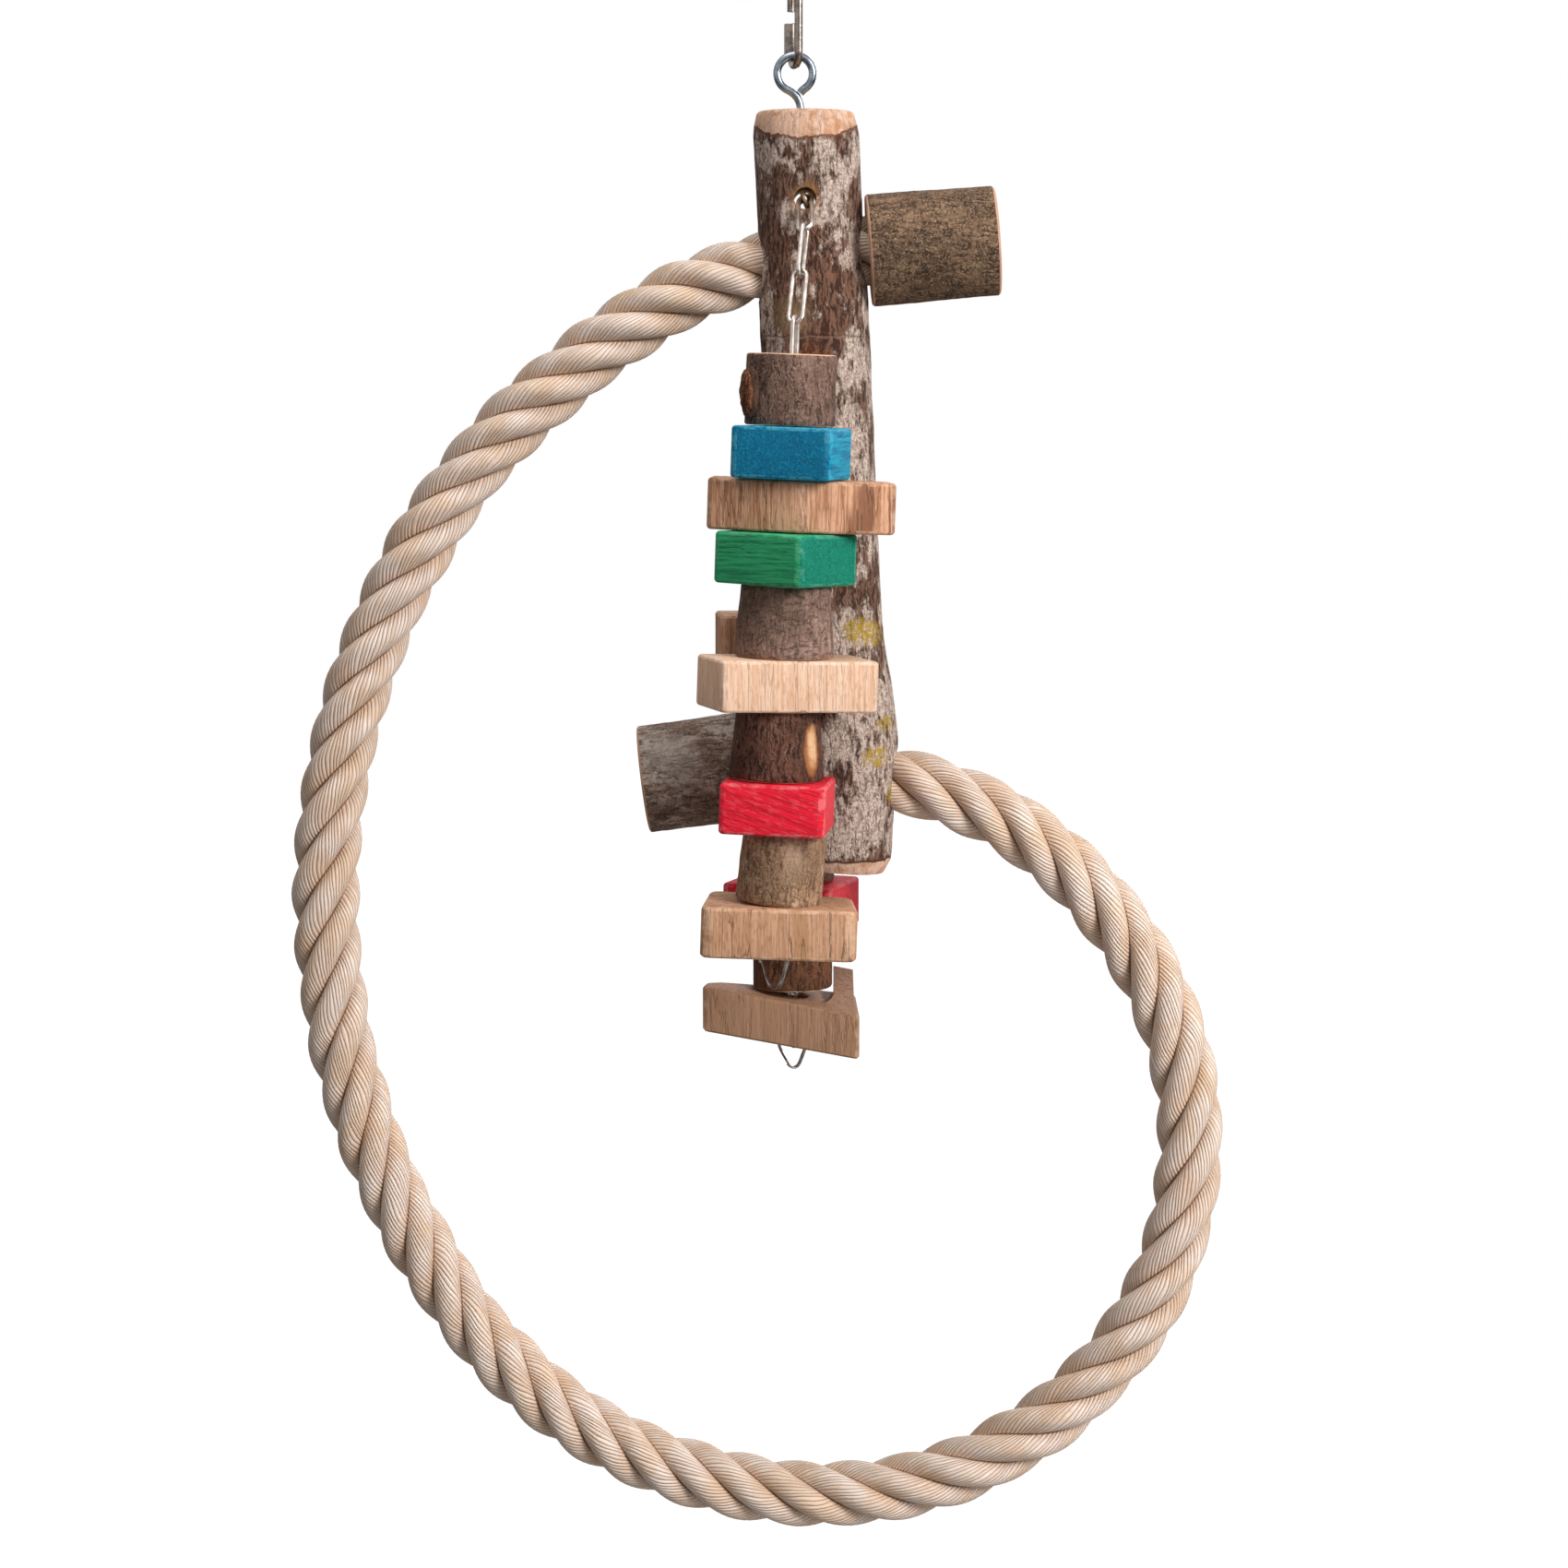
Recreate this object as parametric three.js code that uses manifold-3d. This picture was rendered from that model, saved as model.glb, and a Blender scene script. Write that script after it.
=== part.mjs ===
// Bird climbing spiral. A bark-covered post hangs by a screw eye from an open quick link. One thick rope starts
// in the upper knob, crosses the post, swings round in a wide open loop, crosses the post again and ends in the
// lower knob. A chain goes through the post from front to back, and a string of wooden pieces hangs on each end.
// Millimetres, +Z up, +X to the viewer's right, +Y away from the viewer. The origin is the inside top of the
// quick link, where the hook that carries the whole thing bears.
import * as THREE from 'three';
import { mergeVertices } from 'three/addons/utils/BufferGeometryUtils.js';
import Module from 'manifold-3d';

const wasm = await Module();
wasm.setup();

// Clearances
const seatGap = 0.3;
const stackGap = 0.35;
const ropeClearance = 0.4;

// Quick link and its nut
const quickWire = 3.6;
const quickInsideLength = 32;
const quickArmSpacing = 14;
const quickCornerRadius = 5;
const quickTurn = 12.5;
const quickOpening = 6.9;
const quickThreadEnd = 11.1;
const nutLength = 12.5;
const nutAcrossFlats = 5.9;
const nutTopAtRest = 16.1;

// Screw eye
const eyeWire = 3.5;
const eyeOutsideDiameter = 18.6;
const eyeNeckLength = 16.3;
const eyeStemOffset = 2.4;
const eyeShankInWood = 28;
const eyeWireEndAngle = -60;

// Post: each ring is its drop below the top, what it adds to the radius, and its bulge to the right
const postRadius = 23.5;
const postLength = 325;
const postBottomSlope = 0.09;
const postTopOffset = 4.3;
const postLean = 2.66;
const postRings = [
  [0, -4.6, 0],
  [3, -1.9, 0],
  [10, -0.7, 0],
  [46, -0.9, 0],
  [80, -0.1, 0],
  [130, 0, 0],
  [196, 0, 0],
  [224, 0, 0.3],
  [244, 0, 1.4],
  [268, 0, 2.2],
  [290, 0, 1.2],
  [308, 0, 0.2],
];
const postEndRings = [
  [8, -0.2, 0],
  [0, -3, 0],
];

// Rope: the middle of its route in the plane of the loop, from the upper knob to the lower one, with heights
// counted from the top of the post
const ropeDiameter = 30;
const ropeSteps = 68;
const ropeSides = 12;
const ropeRoute = [
  [64.9, -55.6], [31.5, -58.3], [8, -60.8], [-15.8, -65.1], [-36, -71.4], [-58, -82.2], [-80, -96.8],
  [-100, -112.7], [-118, -128.4], [-148.4, -163.2], [-171.4, -201.6], [-188.2, -240.2], [-199.4, -280.8], [-205, -321.8],
  [-204.8, -363.8], [-199, -407.2], [-185.8, -452], [-164.6, -497.2], [-134, -541.8], [-91.8, -577.8], [-39.6, -601.2],
  [17.4, -608.8], [74.6, -597.2], [123.8, -565.2], [158.2, -520.8], [173.8, -467.2], [171, -414.2], [153.4, -368.2],
  [126, -331.8], [84, -299.8], [56, -289.2], [41.5, -286.1], [22, -281.8], [5, -279.6], [-10.7, -279.7],
  [-44.5, -283.4],
];

// Knobs on the rope's two ends
const knobLength = 55.2;
const knobSocketDepth = 33.5;
const knobMouthRadius = 23.9;
const knobEndRadius = 23.3;
const knobEdge = 1.2;
const knobScrewDepth = 14;
const screwDiameter = 4;
const screwLength = 34;
const screwHeadDiameter = 8;
const screwHeadDepth = 2.6;

// Chain
const linkWire = 2;
const linkInsideLength = 22;
const linkInsideWidth = 4;
const linkRoll = 20;
const linkGap = 0.5;
const fusedOverlap = 0.35;
const chainHoleDrop = 37.1;
const chainHoleOffset = 4.2;
const chainHoleDiameter = 9.5;
const chainFlareDiameter = 8.8;
const backRimClearance = 1.09;
const frontLinkDip = 37;
const backLinkDip = 25;

// Strings of wooden pieces
const frontStringOffset = 0;
const frontStringClearance = 28.5;
const frontStringTilt = 2;
const frontFusedLinks = 11;
const frontTwist = 8.2;
const backStringOffset = -0.7;
const backStringClearance = 25;
const backStringTilt = 0;
const backFusedLinks = 12;
const backFreeLinks = 3;
const boreDiameter = 10.4;
const blockThickness = 21.5;
const thinBlockThickness = 17.5;
const blockBevel = 1;
const blockCorner = 2.5;

// Wire ring under each string
const ringWire = 1.2;
const ringTurnSpacing = 1.7;
const ringWidth = 14.5;
const frontRingHeight = 21.2;
const frontRingApexOffset = 2;
const backRingHeight = 16;
const backRingApexOffset = 0.8;
const ringTopCorner = 1;
const ringApexCorner = 3;

const rad = THREE.MathUtils.degToRad;
const down = new THREE.Vector3(0, 0, -1);

function finish(color, roughness, metalness = 0) {
  return new THREE.MeshStandardMaterial({ color, roughness, metalness });
}

const steel = finish(0xb9bcc0, 0.3, 1);
const zinc = finish(0xc9ced6, 0.28, 1);
const bark = finish(0x7a6a60, 0.95);
const paleBark = finish(0x8d7f76, 0.95);
const ropeFibre = finish(0xd8c5a2, 0.9);
const palewood = finish(0xd2a67a, 0.75);
const heartwood = finish(0xa9805c, 0.8);
const blueStain = finish(0x0a7297, 0.75);
const greenStain = finish(0x1c8a5c, 0.75);
const redStain = finish(0xc01f35, 0.75);

const group = new THREE.Group();

function addMesh(name, geometry, material, parent = group) {
  const mesh = new THREE.Mesh(geometry, material);
  mesh.name = name;
  parent.add(mesh);
  return mesh;
}

// Solids for cutting and joining
function solidOf(geometry) {
  const bare = geometry.clone();
  bare.deleteAttribute('normal');
  bare.deleteAttribute('uv');
  const merged = mergeVertices(bare, 1e-4);
  return new wasm.Manifold(new wasm.Mesh({
    numProp: 3,
    vertProperties: new Float32Array(merged.attributes.position.array),
    triVerts: new Uint32Array(merged.index.array),
  }));
}

function geometryOf(solid) {
  const mesh = solid.getMesh();
  const geometry = new THREE.BufferGeometry();
  geometry.setAttribute('position', new THREE.BufferAttribute(mesh.vertProperties, 3));
  geometry.setIndex(new THREE.BufferAttribute(mesh.triVerts, 1));
  geometry.computeVertexNormals();
  return geometry;
}

function cut(geometry, ...cutters) {
  return geometryOf(cutters.reduce((body, cutter) => body.subtract(solidOf(cutter)), solidOf(geometry)));
}

// A path that goes straight from station to station, so that two tubes on the same stations lie true to each other
class StationPath extends THREE.Curve {
  constructor(stations, closed = false) {
    super();
    this.stations = stations;
    this.closed = closed;
    this.spans = closed ? stations.length : stations.length - 1;
  }

  station(index) {
    const count = this.stations.length;
    return this.stations[this.closed ? (index + count) % count : THREE.MathUtils.clamp(index, 0, count - 1)];
  }

  getPoint(t) {
    const index = Math.round(t * this.spans);
    return this.station(index).clone();
  }

  getPointAt(u) {
    return this.getPoint(u);
  }

  getTangentAt(u) {
    const index = Math.round(u * this.spans);
    return this.station(index + 1).clone().sub(this.station(index - 1)).normalize();
  }
}

function circlePoints(radius, sides) {
  const points = [];
  for (let i = 0; i < sides; i++) {
    const angle = (2 * Math.PI * (i + 0.5)) / sides;
    points.push(new THREE.Vector2(radius * Math.cos(angle), radius * Math.sin(angle)));
  }
  return points;
}

function openTube(stations, radius, sides) {
  const section = new THREE.Shape(circlePoints(radius, sides));
  const extrudePath = new StationPath(stations);
  return new THREE.ExtrudeGeometry(section, { steps: stations.length - 1, extrudePath, bevelEnabled: false });
}

function closedTube(stations, radius, sides) {
  return new THREE.TubeGeometry(new StationPath(stations, true), stations.length, radius, sides, true);
}

// Stations on a circle arc in the XZ plane, from one angle to the other in degrees
function arc(x, z, radius, from, to, steps) {
  const stations = [];
  for (let i = 0; i <= steps; i++) {
    const angle = rad(from + ((to - from) * i) / steps);
    stations.push(new THREE.Vector3(x + radius * Math.cos(angle), 0, z + radius * Math.sin(angle)));
  }
  return stations;
}

function rod(radius, from, to, sides = 12) {
  const length = from.distanceTo(to);
  const geometry = new THREE.CylinderGeometry(radius, radius, length, sides);
  const direction = to.clone().sub(from).normalize();
  geometry.applyQuaternion(new THREE.Quaternion().setFromUnitVectors(new THREE.Vector3(0, 1, 0), direction));
  geometry.translate(...from.clone().add(to).multiplyScalar(0.5).toArray());
  return geometry;
}

// Quick link: one bent wire with a gap in its far arm, and the nut that closes it
const quickArm = quickArmSpacing / 2;
const quickTopWire = quickWire / 2;
const quickBottomWire = -quickInsideLength - quickWire / 2;
const quickSide = quickArm - quickCornerRadius;
const quickUpper = quickTopWire - quickCornerRadius;
const quickLower = quickBottomWire + quickCornerRadius;
const quickStations = [
  new THREE.Vector3(quickArm, 0, -quickThreadEnd - quickOpening),
  ...arc(quickSide, quickLower, quickCornerRadius, 0, -90, 4),
  ...arc(-quickSide, quickLower, quickCornerRadius, -90, -180, 4),
  ...arc(-quickSide, quickUpper, quickCornerRadius, 180, 90, 4),
  ...arc(quickSide, quickUpper, quickCornerRadius, 90, 0, 4),
  new THREE.Vector3(quickArm, 0, -quickThreadEnd),
];
const quickLink = new THREE.Group();
quickLink.rotation.z = rad(90 + quickTurn);
group.add(quickLink);
addMesh('quick_link', openTube(quickStations, quickWire / 2, 8), steel, quickLink);

const nutShape = new THREE.Shape(circlePoints(nutAcrossFlats / 2 / Math.cos(Math.PI / 6), 6));
nutShape.holes.push(new THREE.Path(circlePoints((quickWire / 2 + seatGap) / Math.cos(Math.PI / 12), 12)));
const nutGeometry = new THREE.ExtrudeGeometry(nutShape, { depth: nutLength, bevelEnabled: false });
const nut = addMesh('quick_link_nut', nutGeometry, steel, quickLink);
nut.position.set(quickArm, 0, -nutTopAtRest - nutLength);

// Screw eye: its ring hangs on the quick link's lower bend, its shank is screwed into the post
const eyeRingRadius = (eyeOutsideDiameter - eyeWire) / 2;
const eyeCentre = -quickInsideLength + seatGap - (eyeOutsideDiameter / 2 - eyeWire);
const postTop = eyeCentre - eyeNeckLength;
const neckAngle = 180 - eyeWireEndAngle;
const neckStart = arc(0, eyeCentre, eyeRingRadius, neckAngle, neckAngle, 1)[0];
const neck = new THREE.CubicBezierCurve3(
  neckStart,
  new THREE.Vector3(-0.3, 0, neckStart.z - 1.6),
  new THREE.Vector3(eyeStemOffset, 0, neckStart.z - 4),
  new THREE.Vector3(eyeStemOffset, 0, postTop + 1),
);
const eyeStations = [
  ...arc(0, eyeCentre, eyeRingRadius, eyeWireEndAngle, neckAngle, 18),
  ...neck.getPoints(5).slice(1),
  new THREE.Vector3(eyeStemOffset, 0, postTop - eyeShankInWood),
];
addMesh('screw_eye', openTube(eyeStations, eyeWire / 2, 8), zinc);
const eyePilot = rod(
  eyeWire / 2 + seatGap,
  new THREE.Vector3(eyeStemOffset, 0, postTop + 5),
  new THREE.Vector3(eyeStemOffset, 0, postTop - eyeShankInWood - seatGap),
);

// Rope: one tube along the whole route, and the same tube grown by its clearance, which bores post and knobs
const ropePoints = ropeRoute.map(([x, z]) => new THREE.Vector3(x, 0, postTop + z));
const ropeCurve = new THREE.CatmullRomCurve3(ropePoints, false, 'chordal');
ropeCurve.arcLengthDivisions = 2000;
const ropeStations = ropeCurve.getSpacedPoints(ropeSteps);
const upperEnd = ropeStations[0];
const lowerEnd = ropeStations[ropeSteps];
const upperDirection = ropeStations[1].clone().sub(upperEnd).normalize();
const lowerDirection = ropeStations[ropeSteps - 1].clone().sub(lowerEnd).normalize();
const boreStations = [
  upperEnd.clone().addScaledVector(upperDirection, -ropeClearance),
  ...ropeStations,
  lowerEnd.clone().addScaledVector(lowerDirection, -ropeClearance),
];
const ropeBore = openTube(boreStations, ropeDiameter / 2 + ropeClearance, ropeSides);

// Knobs: branch slices with a blind socket for the rope, each held by a screw from behind
function knob(end, direction) {
  const profile = [
    [0, 0],
    [knobEndRadius - knobEdge, 0],
    [knobEndRadius, knobEdge],
    [knobMouthRadius, knobLength - knobEdge],
    [knobMouthRadius - knobEdge, knobLength],
    [0, knobLength],
  ].map(([radius, height]) => new THREE.Vector2(radius, height));
  const geometry = new THREE.LatheGeometry(profile, 20);
  geometry.applyQuaternion(new THREE.Quaternion().setFromUnitVectors(new THREE.Vector3(0, 1, 0), direction));
  geometry.translate(...end.clone().addScaledVector(direction, knobSocketDepth - knobLength).toArray());
  return geometry;
}

function knobScrew(end, direction, grow) {
  const radius = screwDiameter / 2 + grow;
  const headRadius = screwHeadDiameter / 2 + grow;
  const profile = [
    [0, -screwLength - grow],
    [radius * 0.35, -screwLength - grow],
    [radius, -screwLength + screwDiameter],
    [radius, -screwHeadDepth],
    [headRadius, 0],
    [headRadius, grow > 0 ? screwHeadDepth : 0.4],
    [0, grow > 0 ? screwHeadDepth : 0.4],
  ].map(([r, height]) => new THREE.Vector2(r, height));
  const geometry = new THREE.LatheGeometry(profile, 10);
  const share = (knobLength - knobScrewDepth) / knobLength;
  const surface = knobEndRadius + (knobMouthRadius - knobEndRadius) * share;
  const place = end.clone().addScaledVector(direction, knobSocketDepth - knobScrewDepth);
  geometry.translate(place.x, surface - 0.6, place.z);
  return geometry;
}

const upperScrewHole = knobScrew(upperEnd, upperDirection, seatGap);
const lowerScrewHole = knobScrew(lowerEnd, lowerDirection, seatGap);
const ropeTube = openTube(ropeStations, ropeDiameter / 2, ropeSides);
addMesh('climbing_rope', cut(ropeTube, upperScrewHole, lowerScrewHole), ropeFibre);
addMesh('upper_knob', cut(knob(upperEnd, upperDirection), ropeBore, upperScrewHole), bark);
addMesh('lower_knob', cut(knob(lowerEnd, lowerDirection), ropeBore, lowerScrewHole), bark);
addMesh('upper_knob_screw', knobScrew(upperEnd, upperDirection, 0), zinc);
addMesh('lower_knob_screw', knobScrew(lowerEnd, lowerDirection, 0), zinc);

// Chain: contacts are the points where one link bears on the next
const linkPitch = linkInsideLength - linkGap;
const chainHeight = postTop - chainHoleDrop;
const backRimDistance = postRadius + backRimClearance;
const middleLinkOffset = backRimDistance - linkPitch * (Math.cos(rad(backLinkDip)) + 0.5);
const frontEye = new THREE.Vector3(chainHoleOffset, middleLinkOffset - linkPitch / 2, chainHeight);
const backEye = new THREE.Vector3(chainHoleOffset, middleLinkOffset + linkPitch / 2, chainHeight);

function dipped(from, side, dip) {
  const reach = linkPitch * Math.cos(rad(dip));
  return new THREE.Vector3(from.x, from.y + side * reach, from.z - linkPitch * Math.sin(rad(dip)));
}

const frontRim = dipped(frontEye, -1, frontLinkDip);
const backRim = dipped(backEye, 1, backLinkDip);

// The point where two links below the rim reach the string's own line
function anchorBelow(rim, x, y) {
  const run = 2 * linkPitch;
  const drop = Math.sqrt(run * run - (x - rim.x) ** 2 - (y - rim.y) ** 2);
  return new THREE.Vector3(x, y, rim.z - drop);
}

const frontAnchor = anchorBelow(frontRim, frontStringOffset, -postRadius - frontStringClearance);
const backAnchor = anchorBelow(backRim, backStringOffset, postRadius + backStringClearance);
const frontBend = frontRim.clone().add(frontAnchor).multiplyScalar(0.5);
const backBend = backRim.clone().add(backAnchor).multiplyScalar(0.5);

// One link in the XZ plane, hanging from the inside of its upper bend at the origin
function linkGeometry(bendSteps, sides) {
  const bend = (linkInsideWidth + linkWire) / 2;
  const upper = -linkInsideWidth / 2;
  const lower = linkInsideWidth / 2 - linkInsideLength;
  const stations = [...arc(0, upper, bend, 0, 180, bendSteps), ...arc(0, lower, bend, 180, 360, bendSteps)];
  return closedTube(stations, linkWire / 2, sides);
}

function linkBetween(name, from, to, roll, parent = group) {
  const mesh = addMesh(name, linkGeometry(5, 6), steel, parent);
  const direction = to.clone().sub(from).normalize();
  mesh.quaternion.setFromUnitVectors(down, direction);
  mesh.quaternion.multiply(new THREE.Quaternion().setFromAxisAngle(new THREE.Vector3(0, 0, 1), rad(roll)));
  mesh.position.copy(from).addScaledVector(direction, -linkGap / 2);
  return mesh;
}

linkBetween('chain_link_in_post', backEye, frontEye, 90 - linkRoll);
linkBetween('front_chain_link_1', frontEye, frontRim, -linkRoll);
linkBetween('front_chain_link_2', frontRim, frontBend, 90 - linkRoll);
linkBetween('front_chain_link_3', frontBend, frontAnchor, -linkRoll);
linkBetween('back_chain_link_1', backEye, backRim, linkRoll);
linkBetween('back_chain_link_2', backRim, backBend, 90 + linkRoll);
linkBetween('back_chain_link_3', backBend, backAnchor, linkRoll);

// Post: rings of the leaning branch, joined by flat faces
function ringedSolid(rings, sides) {
  const positions = [];
  const faces = [];
  for (const [x, y, z, radiusX, radiusY, slope] of rings) {
    for (let i = 0; i < sides; i++) {
      const angle = (2 * Math.PI * i) / sides;
      const along = radiusX * Math.cos(angle);
      positions.push(x + along, y + radiusY * Math.sin(angle), z - slope * along);
    }
  }
  const first = rings[0];
  const last = rings[rings.length - 1];
  positions.push(first[0], first[1], first[2], last[0], last[1], last[2]);
  const top = rings.length * sides;
  for (let i = 0; i < sides; i++) {
    const next = (i + 1) % sides;
    faces.push(top, i, next, top + 1, top - sides + next, top - sides + i);
    for (let ring = 0; ring < rings.length - 1; ring++) {
      const upper = ring * sides;
      const lower = upper + sides;
      faces.push(upper + i, lower + i, lower + next, upper + i, lower + next, upper + next);
    }
  }
  const geometry = new THREE.BufferGeometry();
  geometry.setAttribute('position', new THREE.Float32BufferAttribute(positions, 3));
  geometry.setIndex(faces);
  geometry.computeVertexNormals();
  return geometry;
}

const postDrops = [
  ...postRings.map((ring) => [...ring, 0]),
  ...postEndRings.map(([up, add, bulge]) => [postLength - up, add, bulge, postBottomSlope]),
];
const post = ringedSolid(postDrops.map(([drop, add, bulge, slope]) => [
  postTopOffset + drop * Math.tan(rad(postLean)) + bulge,
  0,
  postTop - drop,
  postRadius + add + bulge,
  postRadius + add,
  slope,
]), 20);
const chainHole = rod(
  chainHoleDiameter / 2,
  new THREE.Vector3(chainHoleOffset, -2 * postRadius, chainHeight),
  new THREE.Vector3(chainHoleOffset, 2 * postRadius, chainHeight),
);
const flareReach = 2;
const frontFlare = rod(
  chainFlareDiameter / 2,
  frontEye,
  frontEye.clone().lerp(frontRim, flareReach),
);
const backFlare = rod(
  chainFlareDiameter / 2,
  backEye,
  backEye.clone().lerp(backRim, flareReach),
);
addMesh('main_post', cut(post, eyePilot, chainHole, frontFlare, backFlare, ropeBore), paleBark);

// Wooden pieces. A block is a rounded outline with a bore; a slice is a length of thin branch with a bore.
const boreSides = 10;
const boreRadius = boreDiameter / 2 / Math.cos(Math.PI / boreSides);

function blockGeometry(corners, thickness, corner, bored) {
  const inset = corners.map((point, i) => {
    const before = corners[(i + corners.length - 1) % corners.length];
    const after = corners[(i + 1) % corners.length];
    const toBefore = new THREE.Vector2(before[0] - point[0], before[1] - point[1]).setLength(corner);
    const toAfter = new THREE.Vector2(after[0] - point[0], after[1] - point[1]).setLength(corner);
    return [toBefore, toAfter];
  });
  const shape = new THREE.Shape();
  corners.forEach(([x, y], i) => {
    const [toBefore, toAfter] = inset[i];
    if (i === 0) {
      shape.moveTo(x + toBefore.x, y + toBefore.y);
    } else {
      shape.lineTo(x + toBefore.x, y + toBefore.y);
    }
    shape.quadraticCurveTo(x, y, x + toAfter.x, y + toAfter.y);
  });
  shape.closePath();
  if (bored) {
    shape.holes.push(new THREE.Path(circlePoints(boreRadius + blockBevel, boreSides).reverse()));
  }
  const geometry = new THREE.ExtrudeGeometry(shape, {
    depth: thickness - 2 * blockBevel,
    bevelThickness: blockBevel,
    bevelSize: blockBevel,
    bevelOffset: -blockBevel,
    bevelSegments: 1,
    curveSegments: 2,
  });
  geometry.translate(0, 0, blockBevel - thickness);
  return geometry;
}

// Corners of a rectangle of this width and depth, turned by the angle and moved off the bore's middle
function rectangle(width, depth, turn, x = 0, y = 0) {
  const angle = rad(turn);
  return [[-1, -1], [1, -1], [1, 1], [-1, 1]].map(([sx, sy]) => {
    const px = (sx * width) / 2;
    const py = (sy * depth) / 2;
    return [x + px * Math.cos(angle) - py * Math.sin(angle), y + px * Math.sin(angle) + py * Math.cos(angle)];
  });
}

function sliceGeometry(topRadius, bottomRadius, height, x, lean) {
  const profile = [
    [boreRadius, -height],
    [bottomRadius - blockBevel, -height],
    [bottomRadius, blockBevel - height],
    [topRadius, -blockBevel],
    [topRadius - blockBevel, 0],
    [boreRadius, 0],
    [boreRadius, -height],
  ].map(([radius, z]) => new THREE.Vector2(radius, z));
  const geometry = new THREE.LatheGeometry(profile, 16);
  geometry.rotateX(Math.PI / 2);
  const position = geometry.attributes.position;
  for (let i = 0; i < position.count; i++) {
    const outer = Math.hypot(position.getX(i), position.getY(i)) > boreRadius + blockBevel;
    const shift = x + Math.tan(rad(lean)) * (position.getZ(i) + height / 2);
    position.setX(i, position.getX(i) + (outer ? shift : 0));
  }
  return geometry;
}

function block(name, material, corners, thickness = blockThickness, corner = blockCorner) {
  return { name, material, height: thickness, geometry: blockGeometry(corners, thickness, corner, true) };
}

function slice(name, topRadius, bottomRadius, height, x = 0, lean = 0) {
  const geometry = sliceGeometry(topRadius, bottomRadius, height, x, lean);
  return { name, material: bark, height, geometry };
}

// The half-round block: its top and bottom fall to the right and to the front, and its ends stay upright. Beside
// the slice above it, its top rises into a shoulder at the right end.
function halfRoundBlock(name, material, thickness, fallRight, fallForward, sliceRadius) {
  const side = new THREE.Shape(shoulderProfile.map(([y, z]) => new THREE.Vector2(y, z)));
  const shoulder = new THREE.ExtrudeGeometry(side, { depth: shoulderWidth, bevelEnabled: false });
  shoulder.applyMatrix4(new THREE.Matrix4().makeBasis(
    new THREE.Vector3(0, 1, 0),
    new THREE.Vector3(0, 0, 1),
    new THREE.Vector3(1, 0, 0),
  ));
  shoulder.translate(sliceRadius + shoulderClearance, 0, 0);
  const slab = solidOf(blockGeometry(halfRoundCorners, thickness, blockCorner, true));
  const geometry = geometryOf(slab.add(solidOf(shoulder)));
  const slopeX = Math.tan(rad(fallRight));
  const slopeY = Math.tan(rad(fallForward));
  const rise = sliceRadius * Math.hypot(slopeX, slopeY);
  const dip = (ringWidth / 2) * slopeX + ((ringTurnSpacing + ringWire) / 2) * slopeY;
  geometry.applyMatrix4(new THREE.Matrix4().set(1, 0, 0, 0, 0, 1, 0, 0, -slopeX, slopeY, 1, -rise, 0, 0, 0, 1));
  return { name, material, height: rise + thickness + dip, geometry };
}

const halfRoundCorners = [[-40.8, -21], [30, -20], [29, 25], [0, 15], [-20, 4], [-33, -3], [-39.5, -10]];
const shoulderWidth = 9;
const shoulderClearance = 0.8;
const shoulderProfile = [[-17, -3], [23, -3], [24, 10], [21.5, 12], [-17, -0.4]];

const frontPieces = [
  slice('front_slice_1', 18.8, 19, 29.5, -0.9),
  block('front_blue_block', blueStain, rectangle(42.5, 42.5, -12.9, 0.3, -2.5)),
  block('front_natural_block', heartwood, [[-34, -6], [4, -19.5], [44.6, -5], [42, 21], [-33, 22]]),
  block('front_green_block', greenStain, rectangle(43.8, 43.8, -33.7, -0.5, -3)),
  slice('front_slice_2', 18.9, 20.7, 30, 0),
  block('front_beech_block', palewood, rectangle(69.2, 36, 19.1, 1.9, -2.7)),
  slice('front_slice_3', 17.6, 20, 29.3, -1.3),
  block('front_red_block', redStain, rectangle(44.5, 43, -6.5, -0.4, -2)),
  slice('front_slice_4', 17.6, 18.2, 29.8, 2.3, 3.5),
  block('front_bottom_block', palewood, [[-31, -23], [35, -22], [33, 18], [-28, 25]], blockThickness, 5),
];
const backPieces = [
  slice('back_slice_1', 18.5, 18.8, 29.5),
  block('back_green_block', greenStain, rectangle(42.5, 42.5, 7, 0, 1.5)),
  slice('back_slice_2', 18.8, 19.4, 29.5),
  block('back_natural_block', heartwood, rectangle(62, 40, 5, -2.8, 2)),
  slice('back_slice_3', 19.2, 18.6, 29.5),
  block('back_beech_block', palewood, rectangle(52, 42, -4, 0, 2.5), thinBlockThickness),
  block('back_blue_block', blueStain, rectangle(42.5, 42.5, -8, 0, 1.5)),
  slice('back_slice_4', 18, 18.6, 29.5),
  block('back_red_block', redStain, rectangle(52, 42, -20, -0.6, 3)),
  slice('back_slice_5', 17.6, 18, 26.5),
  halfRoundBlock('back_half_round_block', palewood, 20.2, 10.8, 2, 18),
];

// Wire ring: two turns of one wire with a jog between them, wider than the bore, so the lowest piece rests on it
function roundedCorner(point, before, after, radius, steps) {
  const toBefore = before.clone().sub(point).normalize();
  const toAfter = after.clone().sub(point).normalize();
  const half = toBefore.angleTo(toAfter) / 2;
  const centre = point.clone().addScaledVector(toBefore.clone().add(toAfter).normalize(), radius / Math.sin(half));
  const start = point.clone().addScaledVector(toBefore, radius / Math.tan(half)).sub(centre);
  const end = point.clone().addScaledVector(toAfter, radius / Math.tan(half)).sub(centre);
  const turn = new THREE.Quaternion().setFromUnitVectors(start.clone().normalize(), end.clone().normalize());
  const stations = [];
  for (let i = 0; i <= steps; i++) {
    const part = new THREE.Quaternion().slerp(turn, i / steps);
    stations.push(centre.clone().add(start.clone().applyQuaternion(part)));
  }
  return stations;
}

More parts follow.
